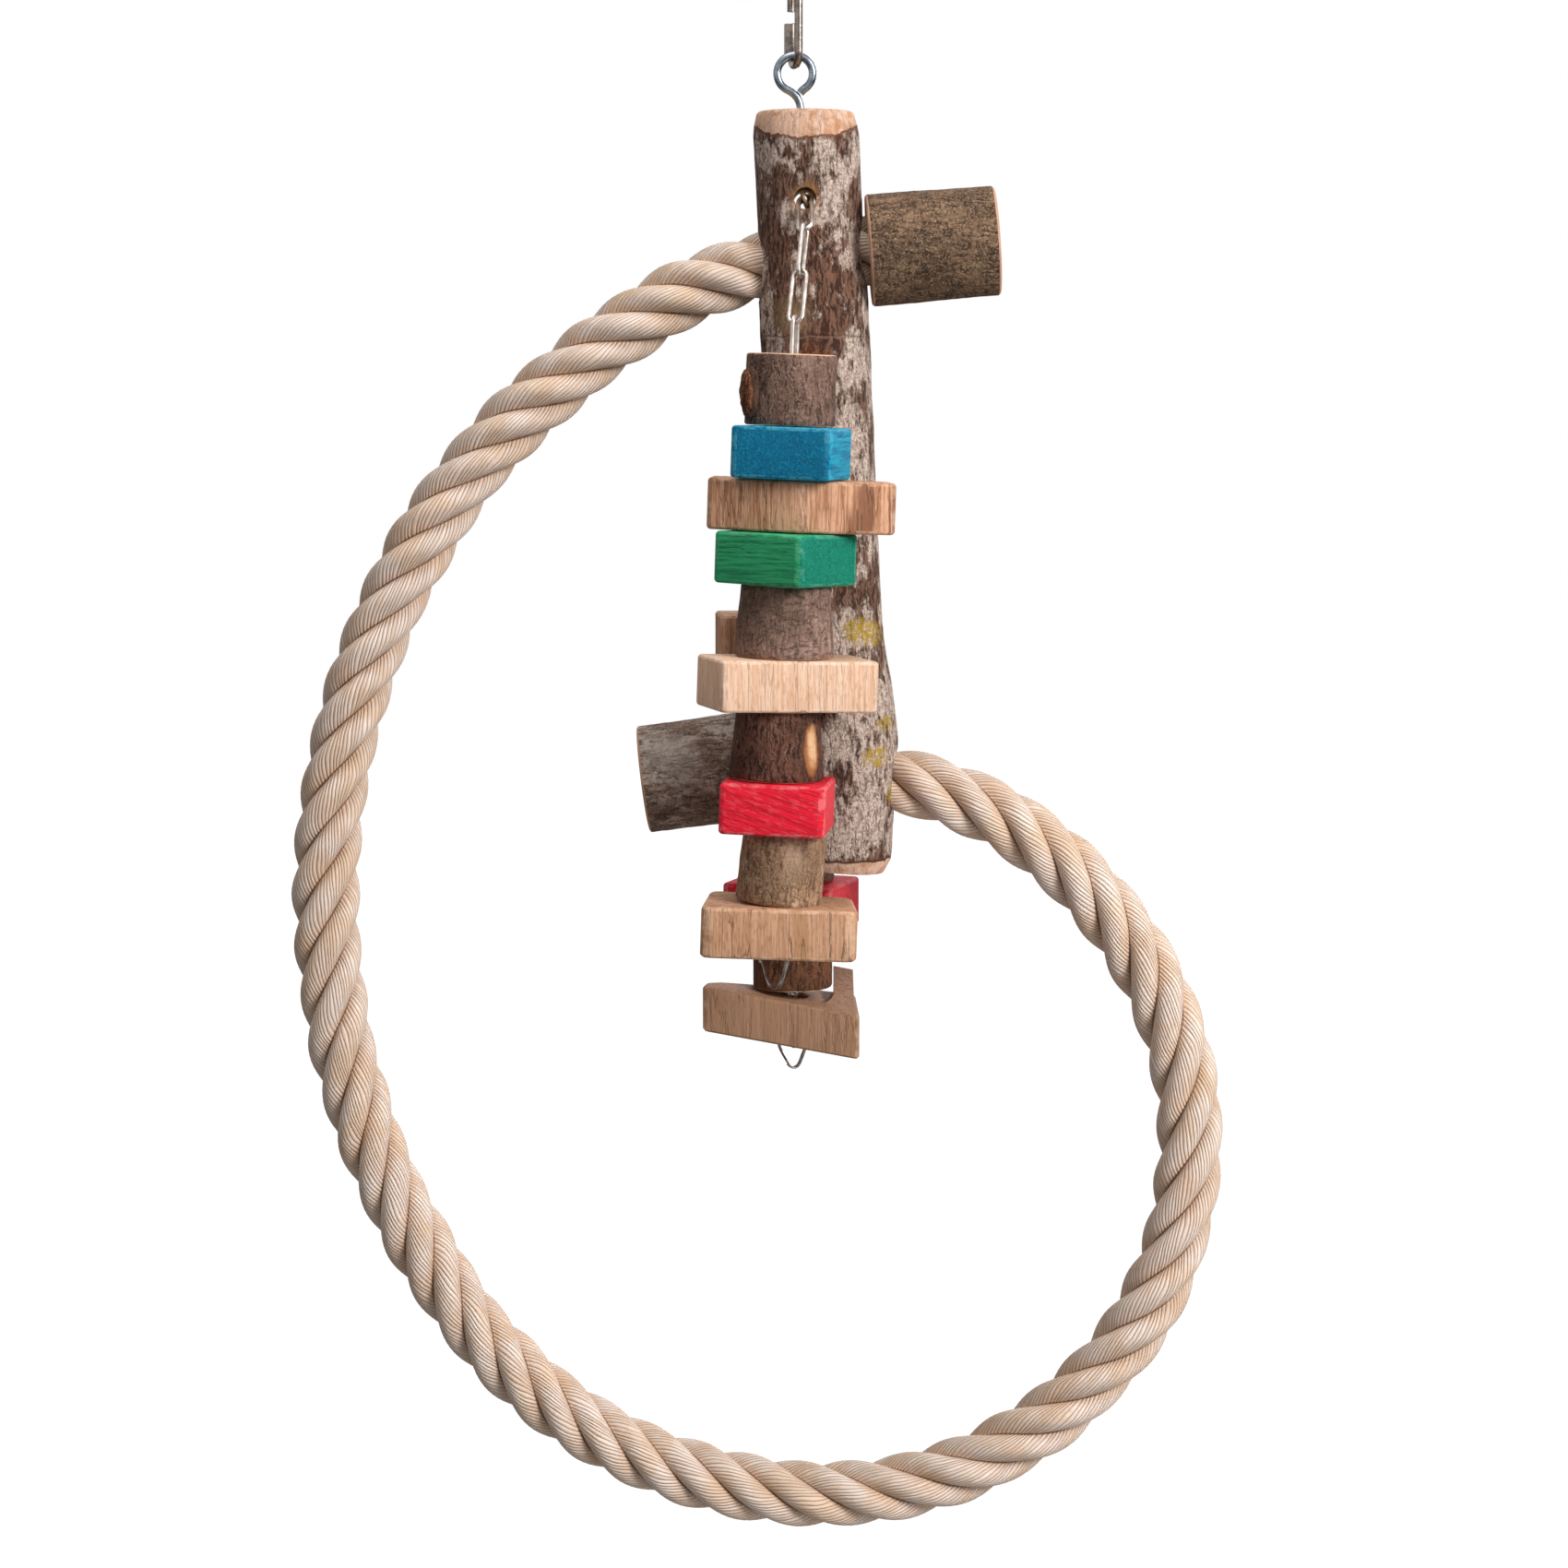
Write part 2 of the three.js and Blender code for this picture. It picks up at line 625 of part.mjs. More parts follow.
function ringStations(ringHeight, apexOffset) {
  const left = new THREE.Vector3(-ringWidth / 2, 0, 0);
  const right = new THREE.Vector3(ringWidth / 2, 0, 0);
  const apex = new THREE.Vector3(apexOffset, 0, -ringHeight);
  const upperLeft = roundedCorner(left, apex, right, ringTopCorner, 3);
  const upperRight = roundedCorner(right, left, apex, ringTopCorner, 3);
  const bottom = roundedCorner(apex, right, left, ringApexCorner, 4);
  const legTop = upperLeft[0];
  const legBottom = bottom[bottom.length - 1];
  const onLeg = (share) => legTop.clone().lerp(legBottom, share);
  const turn = (first, last) => [first, ...upperLeft, ...upperRight, ...bottom, last];
  const near = turn(onLeg(0.25), onLeg(0.85));
  const far = turn(onLeg(0.45), onLeg(0.98));
  near.forEach((station) => { station.y = -ringTurnSpacing / 2; });
  const copies = far.map((station) => station.clone());
  copies.forEach((station) => { station.y = ringTurnSpacing / 2; });
  return [...near, ...copies];
}

// Least gap of the wire to itself, measured between points that lie well apart along it
function leastGap(stations, wire, apart) {
  const points = new StationPath(stations);
  const fine = [];
  for (let i = 0; i < points.spans; i++) {
    for (let step = 0; step < 8; step++) {
      fine.push(stations[i].clone().lerp(stations[i + 1], step / 8));
    }
  }
  let along = 0;
  const lengths = fine.map((point, i) => {
    along += i ? point.distanceTo(fine[i - 1]) : 0;
    return along;
  });
  let least = Infinity;
  for (let i = 0; i < fine.length; i++) {
    for (let j = i + 1; j < fine.length; j++) {
      if (lengths[j] - lengths[i] > apart) {
        least = Math.min(least, fine[i].distanceTo(fine[j]));
      }
    }
  }
  return least - wire;
}

const frontRingPath = ringStations(frontRingHeight, frontRingApexOffset);
const backRingPath = ringStations(backRingHeight, backRingApexOffset);
for (const path of [frontRingPath, backRingPath]) {
  console.log(`least gap between the two turns of a wire ring: ${leastGap(path, ringWire, 12).toFixed(2)} mm`);
}

// Links inside the pieces press on each other and are joined into one solid
function fusedChain(count, firstRoll, twist) {
  const link = linkGeometry(3, 6);
  let run = null;
  for (let i = 0; i < count; i++) {
    const placed = link.clone();
    placed.rotateZ(rad(firstRoll + i * (90 + twist)));
    placed.translate(0, 0, -i * (linkInsideLength + fusedOverlap));
    run = run ? run.add(solidOf(placed)) : solidOf(placed);
  }
  return geometryOf(run);
}

// A string: its free links, the joined run, the ring at the end, and the pieces stacked up from the ring
function hangString(prefix, anchor, tilt, freeLinks, fusedLinks, firstRoll, twist, ringPath, pieces) {
  const line = new THREE.Group();
  line.position.copy(anchor);
  line.rotation.y = rad(tilt);
  group.add(line);
  for (let i = 0; i < freeLinks; i++) {
    const from = new THREE.Vector3(0, 0, -i * linkPitch);
    const to = new THREE.Vector3(0, 0, -(i + 1) * linkPitch);
    linkBetween(`${prefix}_chain_link_${i + 4}`, from, to, firstRoll + 90 * i, line);
  }
  const runStart = freeLinks * linkPitch - linkGap / 2;
  const run = fusedChain(fusedLinks, firstRoll + 90 * freeLinks + twist, twist);
  addMesh(`${prefix}_inner_chain`, run, steel, line).position.z = -runStart;
  const runEnd = runStart + fusedLinks * linkInsideLength + (fusedLinks - 1) * fusedOverlap;
  const bar = runEnd - seatGap - ringWire / 2;
  const ring = addMesh(`${prefix}_end_ring`, openTube(ringPath, ringWire / 2, 6), steel, line);
  ring.position.z = -bar;
  ring.rotation.z = rad(firstRoll - 90);
  let bottom = bar - ringWire / 2 - seatGap;
  for (let i = pieces.length - 1; i >= 0; i--) {
    const piece = pieces[i];
    addMesh(piece.name, piece.geometry, piece.material, line).position.z = piece.height - bottom;
    bottom -= piece.height + stackGap;
  }
}

const frontRoll = 90 - linkRoll;
const backRoll = 90 + linkRoll;
hangString('front', frontAnchor, frontStringTilt, 1, frontFusedLinks, frontRoll, frontTwist, frontRingPath, frontPieces);
hangString('back', backAnchor, backStringTilt, backFreeLinks, backFusedLinks, backRoll, 0, backRingPath, backPieces);

export default group;
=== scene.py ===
# Bird climbing spiral: a bark-covered post on a screw eye and a quick link, one thick rope that crosses it
# twice round a wide open loop, and two chains of wooden pieces. Metres, +Z up, seen from -Y.
import math
import bpy
from mathutils import Matrix, Quaternion, Vector


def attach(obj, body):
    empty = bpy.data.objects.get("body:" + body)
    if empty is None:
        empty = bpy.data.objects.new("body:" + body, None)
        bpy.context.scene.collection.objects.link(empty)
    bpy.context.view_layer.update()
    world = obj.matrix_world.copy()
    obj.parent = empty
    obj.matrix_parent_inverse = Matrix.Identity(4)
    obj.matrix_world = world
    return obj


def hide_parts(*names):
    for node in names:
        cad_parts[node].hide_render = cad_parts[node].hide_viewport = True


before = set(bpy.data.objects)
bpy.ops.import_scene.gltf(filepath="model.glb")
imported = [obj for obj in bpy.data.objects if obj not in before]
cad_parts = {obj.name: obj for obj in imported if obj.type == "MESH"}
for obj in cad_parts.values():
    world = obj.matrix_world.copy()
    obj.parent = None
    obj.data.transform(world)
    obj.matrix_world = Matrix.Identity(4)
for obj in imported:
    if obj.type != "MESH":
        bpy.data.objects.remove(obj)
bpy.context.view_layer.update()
mm = 0.001


# Camera: level with the upper part of the post, looking slightly down.
def new_object(name, data):
    made = bpy.data.objects.new(name, data)
    bpy.context.scene.collection.objects.link(made)
    return made


camera_lens = bpy.data.cameras.new("camera")
camera_lens.lens = 74.12
camera_lens.sensor_width = 36
camera = new_object("camera", camera_lens)
camera.location = (-4.695 * mm, -1400 * mm, -175.1 * mm)
camera.rotation_euler = (math.radians(83.2), 0, 0)
bpy.context.scene.camera = camera
bpy.context.scene.view_settings.view_transform = "Standard"


# Climbing rope: one length of thick four-strand rope, laid to the right, pushed into a blind socket in each
# knob and through two bores in the post, which squeeze it. Its route is the middle line of the solid, in the
# plane of the loop, and each strand is a rounded lobe.
rope_route = [
    (64.9, -109.4), (31.5, -112.1), (8, -114.6), (-15.8, -118.9), (-36, -125.2), (-58, -136), (-80, -150.6),
    (-100, -166.5), (-118, -182.2), (-148.4, -217), (-171.4, -255.4), (-188.2, -294), (-199.4, -334.6),
    (-205, -375.6), (-204.8, -417.6), (-199, -461), (-185.8, -505.8), (-164.6, -551), (-134, -595.6),
    (-91.8, -631.6), (-39.6, -655), (17.4, -662.6), (74.6, -651), (123.8, -619), (158.2, -574.6), (173.8, -521),
    (171, -468), (153.4, -422), (126, -385.6), (84, -353.6), (56, -343), (41.5, -339.9), (22, -335.6),
    (5, -333.4), (-10.7, -333.5), (-44.5, -337.2),
]


def at(x, y, z):
    """A place given in millimetres."""
    return Vector((x, y, z)) * mm


rope_points = [at(x, 0, z) for x, z in rope_route]


def evenly_along(points, steps):
    """Points at equal distances on a smooth curve through the given ones, and the curve's length."""
    fineness = 40
    ends = [points[0] * 2 - points[1]] + points + [points[-1] * 2 - points[-2]]
    dense = []
    for a, b, c, d in zip(ends, ends[1:], ends[2:], ends[3:]):
        before, here, after = (b - a).length, (c - b).length, (d - c).length
        leave = ((b - a) / before - (c - a) / (before + here) + (c - b) / here) * here
        arrive = ((c - b) / here - (d - b) / (here + after) + (d - c) / after) * here
        for i in range(fineness):
            t = i / fineness
            dense.append(
                b * (2 * t**3 - 3 * t**2 + 1) + leave * (t**3 - 2 * t**2 + t)
                + c * (3 * t**2 - 2 * t**3) + arrive * (t**3 - t**2)
            )
    dense.append(points[-1])
    reached = [0.0]
    for a, b in zip(dense, dense[1:]):
        reached.append(reached[-1] + (b - a).length)
    even, at = [], 0
    for i in range(steps + 1):
        goal = reached[-1] * i / steps
        while at < len(dense) - 2 and reached[at + 1] < goal:
            at += 1
        share = (goal - reached[at]) / (reached[at + 1] - reached[at])
        even.append(dense[at].lerp(dense[at + 1], min(max(share, 0), 1)))
    return even, reached[-1]


rope_radius = 15 * mm
rope_rings = 561
strands, strand_columns = 4, 16
columns = strands * strand_columns
rope_line, rope_length = evenly_along(rope_points, rope_rings - 1)
lobe_reach = 0.535 * rope_radius
lobe_radius = rope_radius - lobe_reach
valley_reach, unevenness = 0.6487, 0.022
post_x, post_top, post_drift = 4.3, -53.8, 0.0465
lower_end = -0.4
pinched, pinch_ends, pinch_fades = 0.68, 20, 14


def rope_twist(along):
    """Turns of the lay at this length along the rope. It lies a little slacker towards the lower end."""
    start, turns_a_metre, slackening, recovery = 0.0059, 11.4898, -0.8204, 0.0837
    return start + along * (turns_a_metre + along * (slackening + along * recovery))


def rope_pinch(centre):
    """How far the post's bore squeezes the rope's width here: 1 in the open."""
    beside = abs(centre.x / mm - post_x + (centre.z / mm - post_top) * post_drift)
    free = min(1, max(0, (beside - pinch_ends) / pinch_fades)) if centre.z > lower_end else 1
    return pinched + (1 - pinched) * free * free * (3 - 2 * free)


corners, valleys = [], []
for i, centre in enumerate(rope_line):
    along = rope_length * i / (rope_rings - 1)
    ahead = (rope_line[min(i + 1, rope_rings - 1)] - rope_line[max(i - 1, 0)]).normalized()
    side = Vector((0, 1, 0))
    other = ahead.cross(side)
    turn = 2 * math.pi * rope_twist(along)
    pinch = rope_pinch(centre)
    for column in range(columns):
        strand = column // strand_columns
        lobe = 2 * math.pi / strands * (column % strand_columns / strand_columns - 0.5)
        reach = lobe_reach * math.cos(lobe) + math.sqrt(lobe_radius**2 - (lobe_reach * math.sin(lobe)) ** 2)
        beat = along * (61 + 17 * strand) + 2.1 * strand
        swell = 1 - unevenness * (1 + math.sin(beat))
        angle = turn + 2 * math.pi * column / columns
        corners.append(centre + (side * math.cos(angle) * pinch + other * math.sin(angle)) * reach * swell)
        valleys.append(1 - min(1, (reach / rope_radius - valley_reach) / (1 - valley_reach)))
faces, rope_uv, rope_strands = [], [], []
for i in range(rope_rings - 1):
    lengths = [rope_length * k / (rope_rings - 1) for k in (i, i + 1)]
    turns = [rope_twist(length) for length in lengths]
    for column in range(columns):
        face_corners = ((0, column), (0, column + 1), (1, column + 1), (1, column))
        faces.append([(i + ring) * columns + step % columns for ring, step in face_corners])
        rope_uv += [(turns[ring] + step / columns, lengths[ring]) for ring, step in face_corners]
        rope_strands.append((column // strand_columns) / strands)
last_ring = (rope_rings - 1) * columns
faces.append(tuple(range(columns - 1, -1, -1)))
faces.append(tuple(last_ring + column for column in range(columns)))
rope_uv += [(0, 0)] * (2 * columns)
rope_strands += [0, 0]
rope_mesh = bpy.data.meshes.new("climbing_rope_laid")
rope_mesh.from_pydata(corners, [], faces)
rope = new_object("climbing_rope_laid", rope_mesh)
rope_map = rope_mesh.uv_layers.new(name="rope_map")
for corner, place in zip(rope_map.data, rope_uv):
    corner.uv = place
valley = rope_mesh.attributes.new("valley", "FLOAT", "POINT")
valley.data.foreach_set("value", valleys)
strand = rope_mesh.attributes.new("strand", "FLOAT", "FACE")
strand.data.foreach_set("value", rope_strands)


def pick(piece=None):
    """Selects this piece alone, or nothing."""
    bpy.ops.object.select_all(action="DESELECT")
    if piece:
        piece.select_set(True)
        bpy.context.view_layer.objects.active = piece


def edit_all(piece):
    pick(piece)
    bpy.ops.object.mode_set(mode="EDIT")
    bpy.ops.mesh.select_all(action="SELECT")


def end_edit():
    bpy.ops.object.mode_set(mode="OBJECT")


edit_all(rope)
bpy.ops.mesh.normals_make_consistent(inside=False)
end_edit()
bpy.ops.object.shade_smooth()


def tone(code):
    """A colour as it is written on the screen, made linear for a shader."""
    channels = [int(code[i:i + 2], 16) / 255 for i in (0, 2, 4)]
    return [c / 12.92 if c <= 0.04045 else ((c + 0.055) / 1.055) ** 2.4 for c in channels] + [1.0]


def new_finish(name, roughness, metallic=0.0):
    made = bpy.data.materials.new(name)
    made.use_nodes = True
    shader = made.node_tree.nodes["Principled BSDF"]
    shader.inputs["Roughness"].default_value = roughness
    shader.inputs["Metallic"].default_value = metallic
    shader.inputs["Specular IOR Level"].default_value = 0.5 if metallic else 0.2
    return made, made.node_tree, shader


def feed(socket, value):
    """Links another node's output to this socket, or sets its value."""
    if isinstance(value, bpy.types.NodeSocket):
        socket.id_data.links.new(value, socket)
    else:
        socket.default_value = value


def put(tree, kind, settings=(), **sockets):
    """A new node with these settings, and a value or a link on each named socket."""
    made = tree.nodes.new(kind)
    for key, value in dict(settings).items():
        setattr(made, key, value)
    for key, value in sockets.items():
        feed(made.inputs[key.replace("_", " ")], value)
    return made


def sum_up(operation, *values):
    """A sum over at least one output of a node, in that node's own tree."""
    tree = next(value.id_data for value in values if isinstance(value, bpy.types.NodeSocket))
    made = put(tree, "ShaderNodeMath", {"operation": operation})
    for socket, value in zip(made.inputs, values):
        feed(socket, value)
    return made.outputs[0]


def scaled(value, factor, added=0.0):
    return sum_up("MULTIPLY_ADD", value, factor, added)


def step_up(value, low, high):
    """Runs softly from 0 at the first limit to 1 at the second, which may be the lower one."""
    smooth = {"interpolation_type": "SMOOTHSTEP"}
    made = put(value.id_data, "ShaderNodeMapRange", smooth, Value=value, From_Min=low, From_Max=high)
    return made.outputs["Result"]


def mix_tones(share, first, second):
    made = put(share.id_data, "ShaderNodeMix", {"data_type": "RGBA"})
    for index, value in ((0, share), (6, first), (7, second)):
        feed(made.inputs[index], value)
    return made.outputs[2]


def tint(colour, mask, share, code):
    """The colour with another tone laid over it, as strong as this share of the mask."""
    return mix_tones(scaled(mask, share), colour, tone(code))


def object_place(tree):
    return put(tree, "ShaderNodeTexCoord").outputs["Object"]


def marked(tree, name):
    """The value that the mesh carries under this name."""
    return put(tree, "ShaderNodeAttribute", {"attribute_name": name}).outputs["Fac"]


def noise(vector, scale, detail=3.0, roughness=0.6):
    tree = vector.id_data
    made = put(tree, "ShaderNodeTexNoise", Vector=vector, Scale=scale, Detail=detail, Roughness=roughness)
    return made.outputs["Fac"]


def stretch(vector, scale=(1, 1, 1), location=(0, 0, 0), rotation=(0, 0, 0)):
    tree = vector.id_data
    made = put(tree, "ShaderNodeMapping", Vector=vector, Scale=scale, Location=location, Rotation=rotation)
    return made.outputs["Vector"]


def surface(shader, colour, height, distance, strength):
    """Gives the shader its colour and a relief of this depth."""
    feed(shader.inputs["Base Color"], colour)
    made = put(shader.id_data, "ShaderNodeBump", Height=height, Distance=distance, Strength=strength)
    feed(shader.inputs["Normal"], made.outputs["Normal"])


rope_finish, tree, shader = new_finish("cotton_rope", 0.85)
uv = put(tree, "ShaderNodeUVMap", {"uv_map": "rope_map"}).outputs["UV"]
around = put(tree, "ShaderNodeSeparateXYZ", Vector=uv).outputs
in_valley = marked(tree, "valley")
waver = noise(stretch(uv, (7, 26, 1)), 1.0, 2)
yarns_around, yarns_a_metre, strand_shift, waver_width = 58.0, 30.0, 29.3, 3.4
yarn = scaled(around["X"], yarns_around, scaled(marked(tree, "strand"), strand_shift))
yarn = scaled(around["Y"], yarns_a_metre, yarn)
yarn = scaled(waver, waver_width, yarn)
across_yarn = scaled(sum_up("FRACT", yarn), 2.0, -1.0)
yarn_round = sum_up("SUBTRACT", 1.0, scaled(across_yarn, across_yarn))
fibres = noise(stretch(uv, (700, 90, 1)), 1.0, 4, 0.7)
yarn_number = sum_up("FLOOR", yarn)
each_yarn = put(tree, "ShaderNodeTexWhiteNoise", {"noise_dimensions": "1D"}, W=yarn_number).outputs["Value"]
warm = noise(object_place(tree), 55, 4)
groove_shade_share = scaled(each_yarn, 0.58, 0.34)
cream = mix_tones(step_up(warm, 0.4, 0.65), tone("FFECDF"), tone("F6D8BE"))
cream = tint(cream, sum_up("SUBTRACT", 1.0, each_yarn), 0.42, "D4AE8E")
# Dark lines between the yarns: painted shade in the grooves, stronger for some yarns than for others.
cream = tint(cream, step_up(yarn_round, 0.5, 0.05), groove_shade_share, "8C6A52")
cream = tint(cream, step_up(fibres, 0.56, 0.34), 0.22, "B4937A")
# Painted shade in the valleys between the strands: a warm shade along each valley and a thin dark line at its
# bottom.
cream = tint(cream, step_up(in_valley, 0.25, 0.85), 0.42, "D0A480")
cream = tint(cream, step_up(in_valley, 0.82, 0.98), 0.8, "6A462C")
surface(shader, cream, scaled(fibres, 0.5, yarn_round), 0.6 * mm, 1.0)
rope_mesh.materials.append(rope_finish)
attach(rope, "post")
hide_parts("climbing_rope")


# Main post: a length of branch, its bark left on and peeled back at both sawn ends, with a knot bulge low on
# the right. It is drilled for the chain from front to back and for the rope from side to side.
def apply_modifier(piece, kind, **settings):
    pick(piece)
    modifier = piece.modifiers.new(kind.lower(), kind)
    for key, value in settings.items():
        setattr(modifier, key, value)
    bpy.ops.object.modifier_apply(modifier=modifier.name)


def grow_branch(name, rings, sides):
    """A branch that is extruded ring by ring: each ring is its middle and its two radii."""
    pick()
    middle, across, deep = rings[0]
    bpy.ops.mesh.primitive_circle_add(vertices=sides, radius=across, fill_type="NGON")
    branch = bpy.context.object
    branch.name = name
    branch.data.name = name
    edit_all(branch)
    bpy.ops.transform.resize(value=(1, deep / across, 1), center_override=(0, 0, 0))
    bpy.ops.transform.translate(value=middle)
    for (before, old_across, old_deep), (after, new_across, new_deep) in zip(rings, rings[1:]):
        bpy.ops.mesh.extrude_region_move(TRANSFORM_OT_translate={"value": after - before})
        growth = (new_across / old_across, new_deep / old_deep, 1)
        bpy.ops.transform.resize(value=growth, center_override=after)
    bpy.ops.mesh.select_all(action="SELECT")
    bpy.ops.mesh.normals_make_consistent(inside=False)
    end_edit()
    side_points = list(range(sides, len(branch.data.vertices) - sides))
    branch.vertex_groups.new(name="bark").add(side_points, 1.0, "REPLACE")
    return branch


def fill_in(rings, spacing):
    """More rings between the given ones, so that the bark can be uneven."""
    filled = [rings[0]]
    for first, second in zip(rings, rings[1:]):
        steps = max(1, round((second[0] - first[0]).length / spacing))
        for i in range(1, steps + 1):
            share = i / steps
            filled.append((
                first[0].lerp(second[0], share),
                first[1] + (second[1] - first[1]) * share,
                first[2] + (second[2] - first[2]) * share,
            ))
    return filled


def make_uneven(piece, size, strength, stretched=(1, 1, 1)):
    """Swells and hollows of this size and height over the bark, but not over the sawn ends."""
    clouds = bpy.data.textures.new(piece.name + "_relief", "CLOUDS")
    clouds.noise_scale = size
    clouds.noise_depth = 2
    guide = new_object("relief_guide", None)
    guide.scale = stretched
    bpy.context.view_layer.update()
    apply_modifier(
        piece, "DISPLACE", texture=clouds, texture_coords="OBJECT", texture_coords_object=guide,
        strength=strength, mid_level=0.5, vertex_group="bark",
    )
    bpy.data.objects.remove(guide)


def drill(piece, start, end, radius, sides=28):
    """A round hole from start to end."""
    pick()
    turn = (end - start).to_track_quat("Z", "Y").to_euler()
    bpy.ops.mesh.primitive_cylinder_add(
        vertices=sides, radius=radius, depth=(end - start).length, location=(start + end) / 2, rotation=turn,
    )
    cut_with(piece, bpy.context.object)


def cut_with(piece, cutter):
    """Cuts one shape out of the piece, with the piece's second finish on the cut."""
    for slot in piece.data.materials:
        cutter.data.materials.append(slot)
    if len(cutter.data.materials) > 1:
        for face in cutter.data.polygons:
            face.material_index = 1
    apply_modifier(piece, "BOOLEAN", object=cutter, operation="DIFFERENCE", solver="EXACT")
    bpy.data.objects.remove(cutter)


def smooth_by_angle(piece, degrees):
    pick(piece)
    bpy.ops.object.shade_smooth_by_angle(angle=math.radians(degrees))


def new_pattern(name):
    """A pattern that several finishes share: an empty node group that takes a place."""
    group = bpy.data.node_groups.new(name, "ShaderNodeTree")
    group.interface.new_socket(name="Vector", in_out="INPUT", socket_type="NodeSocketVector")
    return group, group.nodes.new("NodeGroupInput").outputs["Vector"]


def give_out(group, **values):
    leave = group.nodes.new("NodeGroupOutput")
    for name, value in values.items():
        group.interface.new_socket(name=name, in_out="OUTPUT", socket_type="NodeSocketFloat")
        group.links.new(value, leave.inputs[name])


def use_pattern(group, place):
    return put(place.id_data, "ShaderNodeGroup", {"node_tree": group}, Vector=place).outputs


# The bark of every branch: uneven patches, fine mottling, streaks along the branch, lines across it and thin
# cracks. The streaks and cracks are bent by a wide noise, so that none is quite straight.
tree, enter = new_pattern("bark_pattern")
bark_group = tree
bending = put(tree, "ShaderNodeTexNoise", Vector=enter, Scale=130.0).outputs["Color"]
bent = put(tree, "ShaderNodeVectorMath", {"operation": "MULTIPLY_ADD"})
for socket, value in zip(bent.inputs, (bending, [6 * mm] * 3, enter)):
    feed(socket, value)
bent = bent.outputs["Vector"]
patch = noise(stretch(enter, (1, 1, 0.8)), 55, 5, 0.6)
mottle = noise(stretch(enter, (1, 1, 0.5)), 230, 8, 0.7)
streak = noise(stretch(bent, (1, 1, 0.14)), 760, 4, 0.62)
cross = noise(stretch(bent, (0.3, 0.3, 1)), 900, 4, 0.65)
fine = noise(enter, 950, 4, 0.75)
cracks = put(
    tree, "ShaderNodeTexVoronoi", {"feature": "DISTANCE_TO_EDGE"},
    Vector=stretch(bent, (1, 1, 0.3)), Scale=170.0,
).outputs["Distance"]
crack = step_up(cracks, 0.07, 0.0)
height = scaled(streak, 0.7, mottle)
height = scaled(fine, 0.3, scaled(cross, 0.3, height))
height = sum_up("SUBTRACT", height, scaled(crack, 0.25))
give_out(
    tree, Patch=patch, Mottle=mottle, Streak=streak, Cross=cross, Fine=fine, Crack=crack, Height=height,
)


def spot(vector, centre, size, edge, ragged, scale=160):
    """A mask round one place on a piece, with a ragged edge: 1 inside, 0 outside. Millimetres."""
    moved = stretch(vector, [1 / (s * mm) for s in size], [-c / s for c, s in zip(centre, size)])
    length = put(moved.id_data, "ShaderNodeVectorMath", {"operation": "LENGTH"}, Vector=moved).outputs["Value"]
    frayed = scaled(noise(vector, scale, 4), ragged * 2, length)
    return step_up(frayed, 1 + edge + ragged, 1 - edge + ragged)


chain_hole_x, chain_hole_z, chain_hole_radius = 4.2, -90.9, 4.75
post_finish, tree, shader = new_finish("post_bark", 0.88)
place = object_place(tree)
xyz = put(tree, "ShaderNodeSeparateXYZ", Vector=place).outputs
bark = use_pattern(bark_group, place)
dashes = noise(stretch(place, (1, 1, 0.2)), 560, 4, 0.6)
under = mix_tones(step_up(bark["Streak"], 0.42, 0.58), tone("38221A"), tone("80604F"))
over = mix_tones(step_up(bark["Fine"], 0.36, 0.6), tone("A68B7B"), tone("E0CCBE"))
red_place = spot(place, (5, -24, -146), (17, 18, 46), 0.7, 0.5)
cover = scaled(bark["Mottle"], 0.8, scaled(bark["Patch"], 1.1))
cover = scaled(dashes, 0.3, cover)
cover = scaled(xyz["X"], 1.6, scaled(xyz["Z"], -0.07, cover))
cover = scaled(red_place, -0.1, cover)
cover = step_up(cover, 1.05, 1.16)
colour = mix_tones(scaled(cover, 0.95), under, over)
colour = tint(colour, step_up(bark["Streak"], 0.48, 0.38), 0.6, "4A2F25")
colour = tint(colour, step_up(bark["Cross"], 0.47, 0.36), 0.4, "5F493D")
colour = tint(colour, bark["Crack"], 0.3, "3A251C")
uncovered = sum_up("SUBTRACT", 1.0, cover)
red_streak = scaled(step_up(bark["Streak"], 0.5, 0.62), uncovered)
colour = tint(colour, scaled(red_streak, red_place), 0.42, "84492F")
swirl, rust, hole_rim = (
    ((-2, -24, -140), (8, 16, 7), 0.6, 0.8, 300), ((6, -24, -162), (8, 16, 10), 0.5, 0.8, 420),
    ((chain_hole_x, -23, chain_hole_z), (6.2, 9, 6.4), 0.25, 0.5, 420),
)
for mark, share, code in ((swirl, 0.55, "A58A68"), (rust, 0.35, "8E4E2C"), (hole_rim, 0.75, "95663F")):
    colour = tint(colour, spot(place, *mark), share, code)
ring_height = scaled(noise(place, 60, 3), 7 * mm, -153 * mm)
from_ring = sum_up("ABSOLUTE", sum_up("SUBTRACT", xyz["Z"], ring_height))
crack_ring = step_up(from_ring, 0.7 * mm, 0.1 * mm)
colour = tint(colour, crack_ring, 0.6, "8A7060")
crumbs = step_up(noise(place, 480, 4, 0.75), 0.46, 0.5)
for centre, size in (
    ((27, -17, -274), (8, 9, 6)), ((35, -14, -275), (7, 8, 5)), ((38, -12, -314), (4, 7, 3.5)),
    ((34, -17, -328), (6, 8, 5)), ((42, -6, -345), (5, 8, 5)),
):
    lichen = scaled(spot(place, centre, size, 0.3, 0.5, 300), crumbs)
    colour = tint(colour, lichen, 0.9, "B08F28")
wave = scaled(noise(place, 42, 4), 17 * mm, -8.5 * mm)
from_axis = sum_up("ADD", xyz["X"], -post_x * mm)
dip = scaled(scaled(from_axis, from_axis), -15.0, 8 * mm)
from_top = sum_up("ADD", sum_up("ADD", xyz["Z"], wave), dip)
slope = scaled(xyz["X"], 0.09, xyz["Z"])
from_bottom = sum_up("ADD", slope, scaled(wave, 0.6))
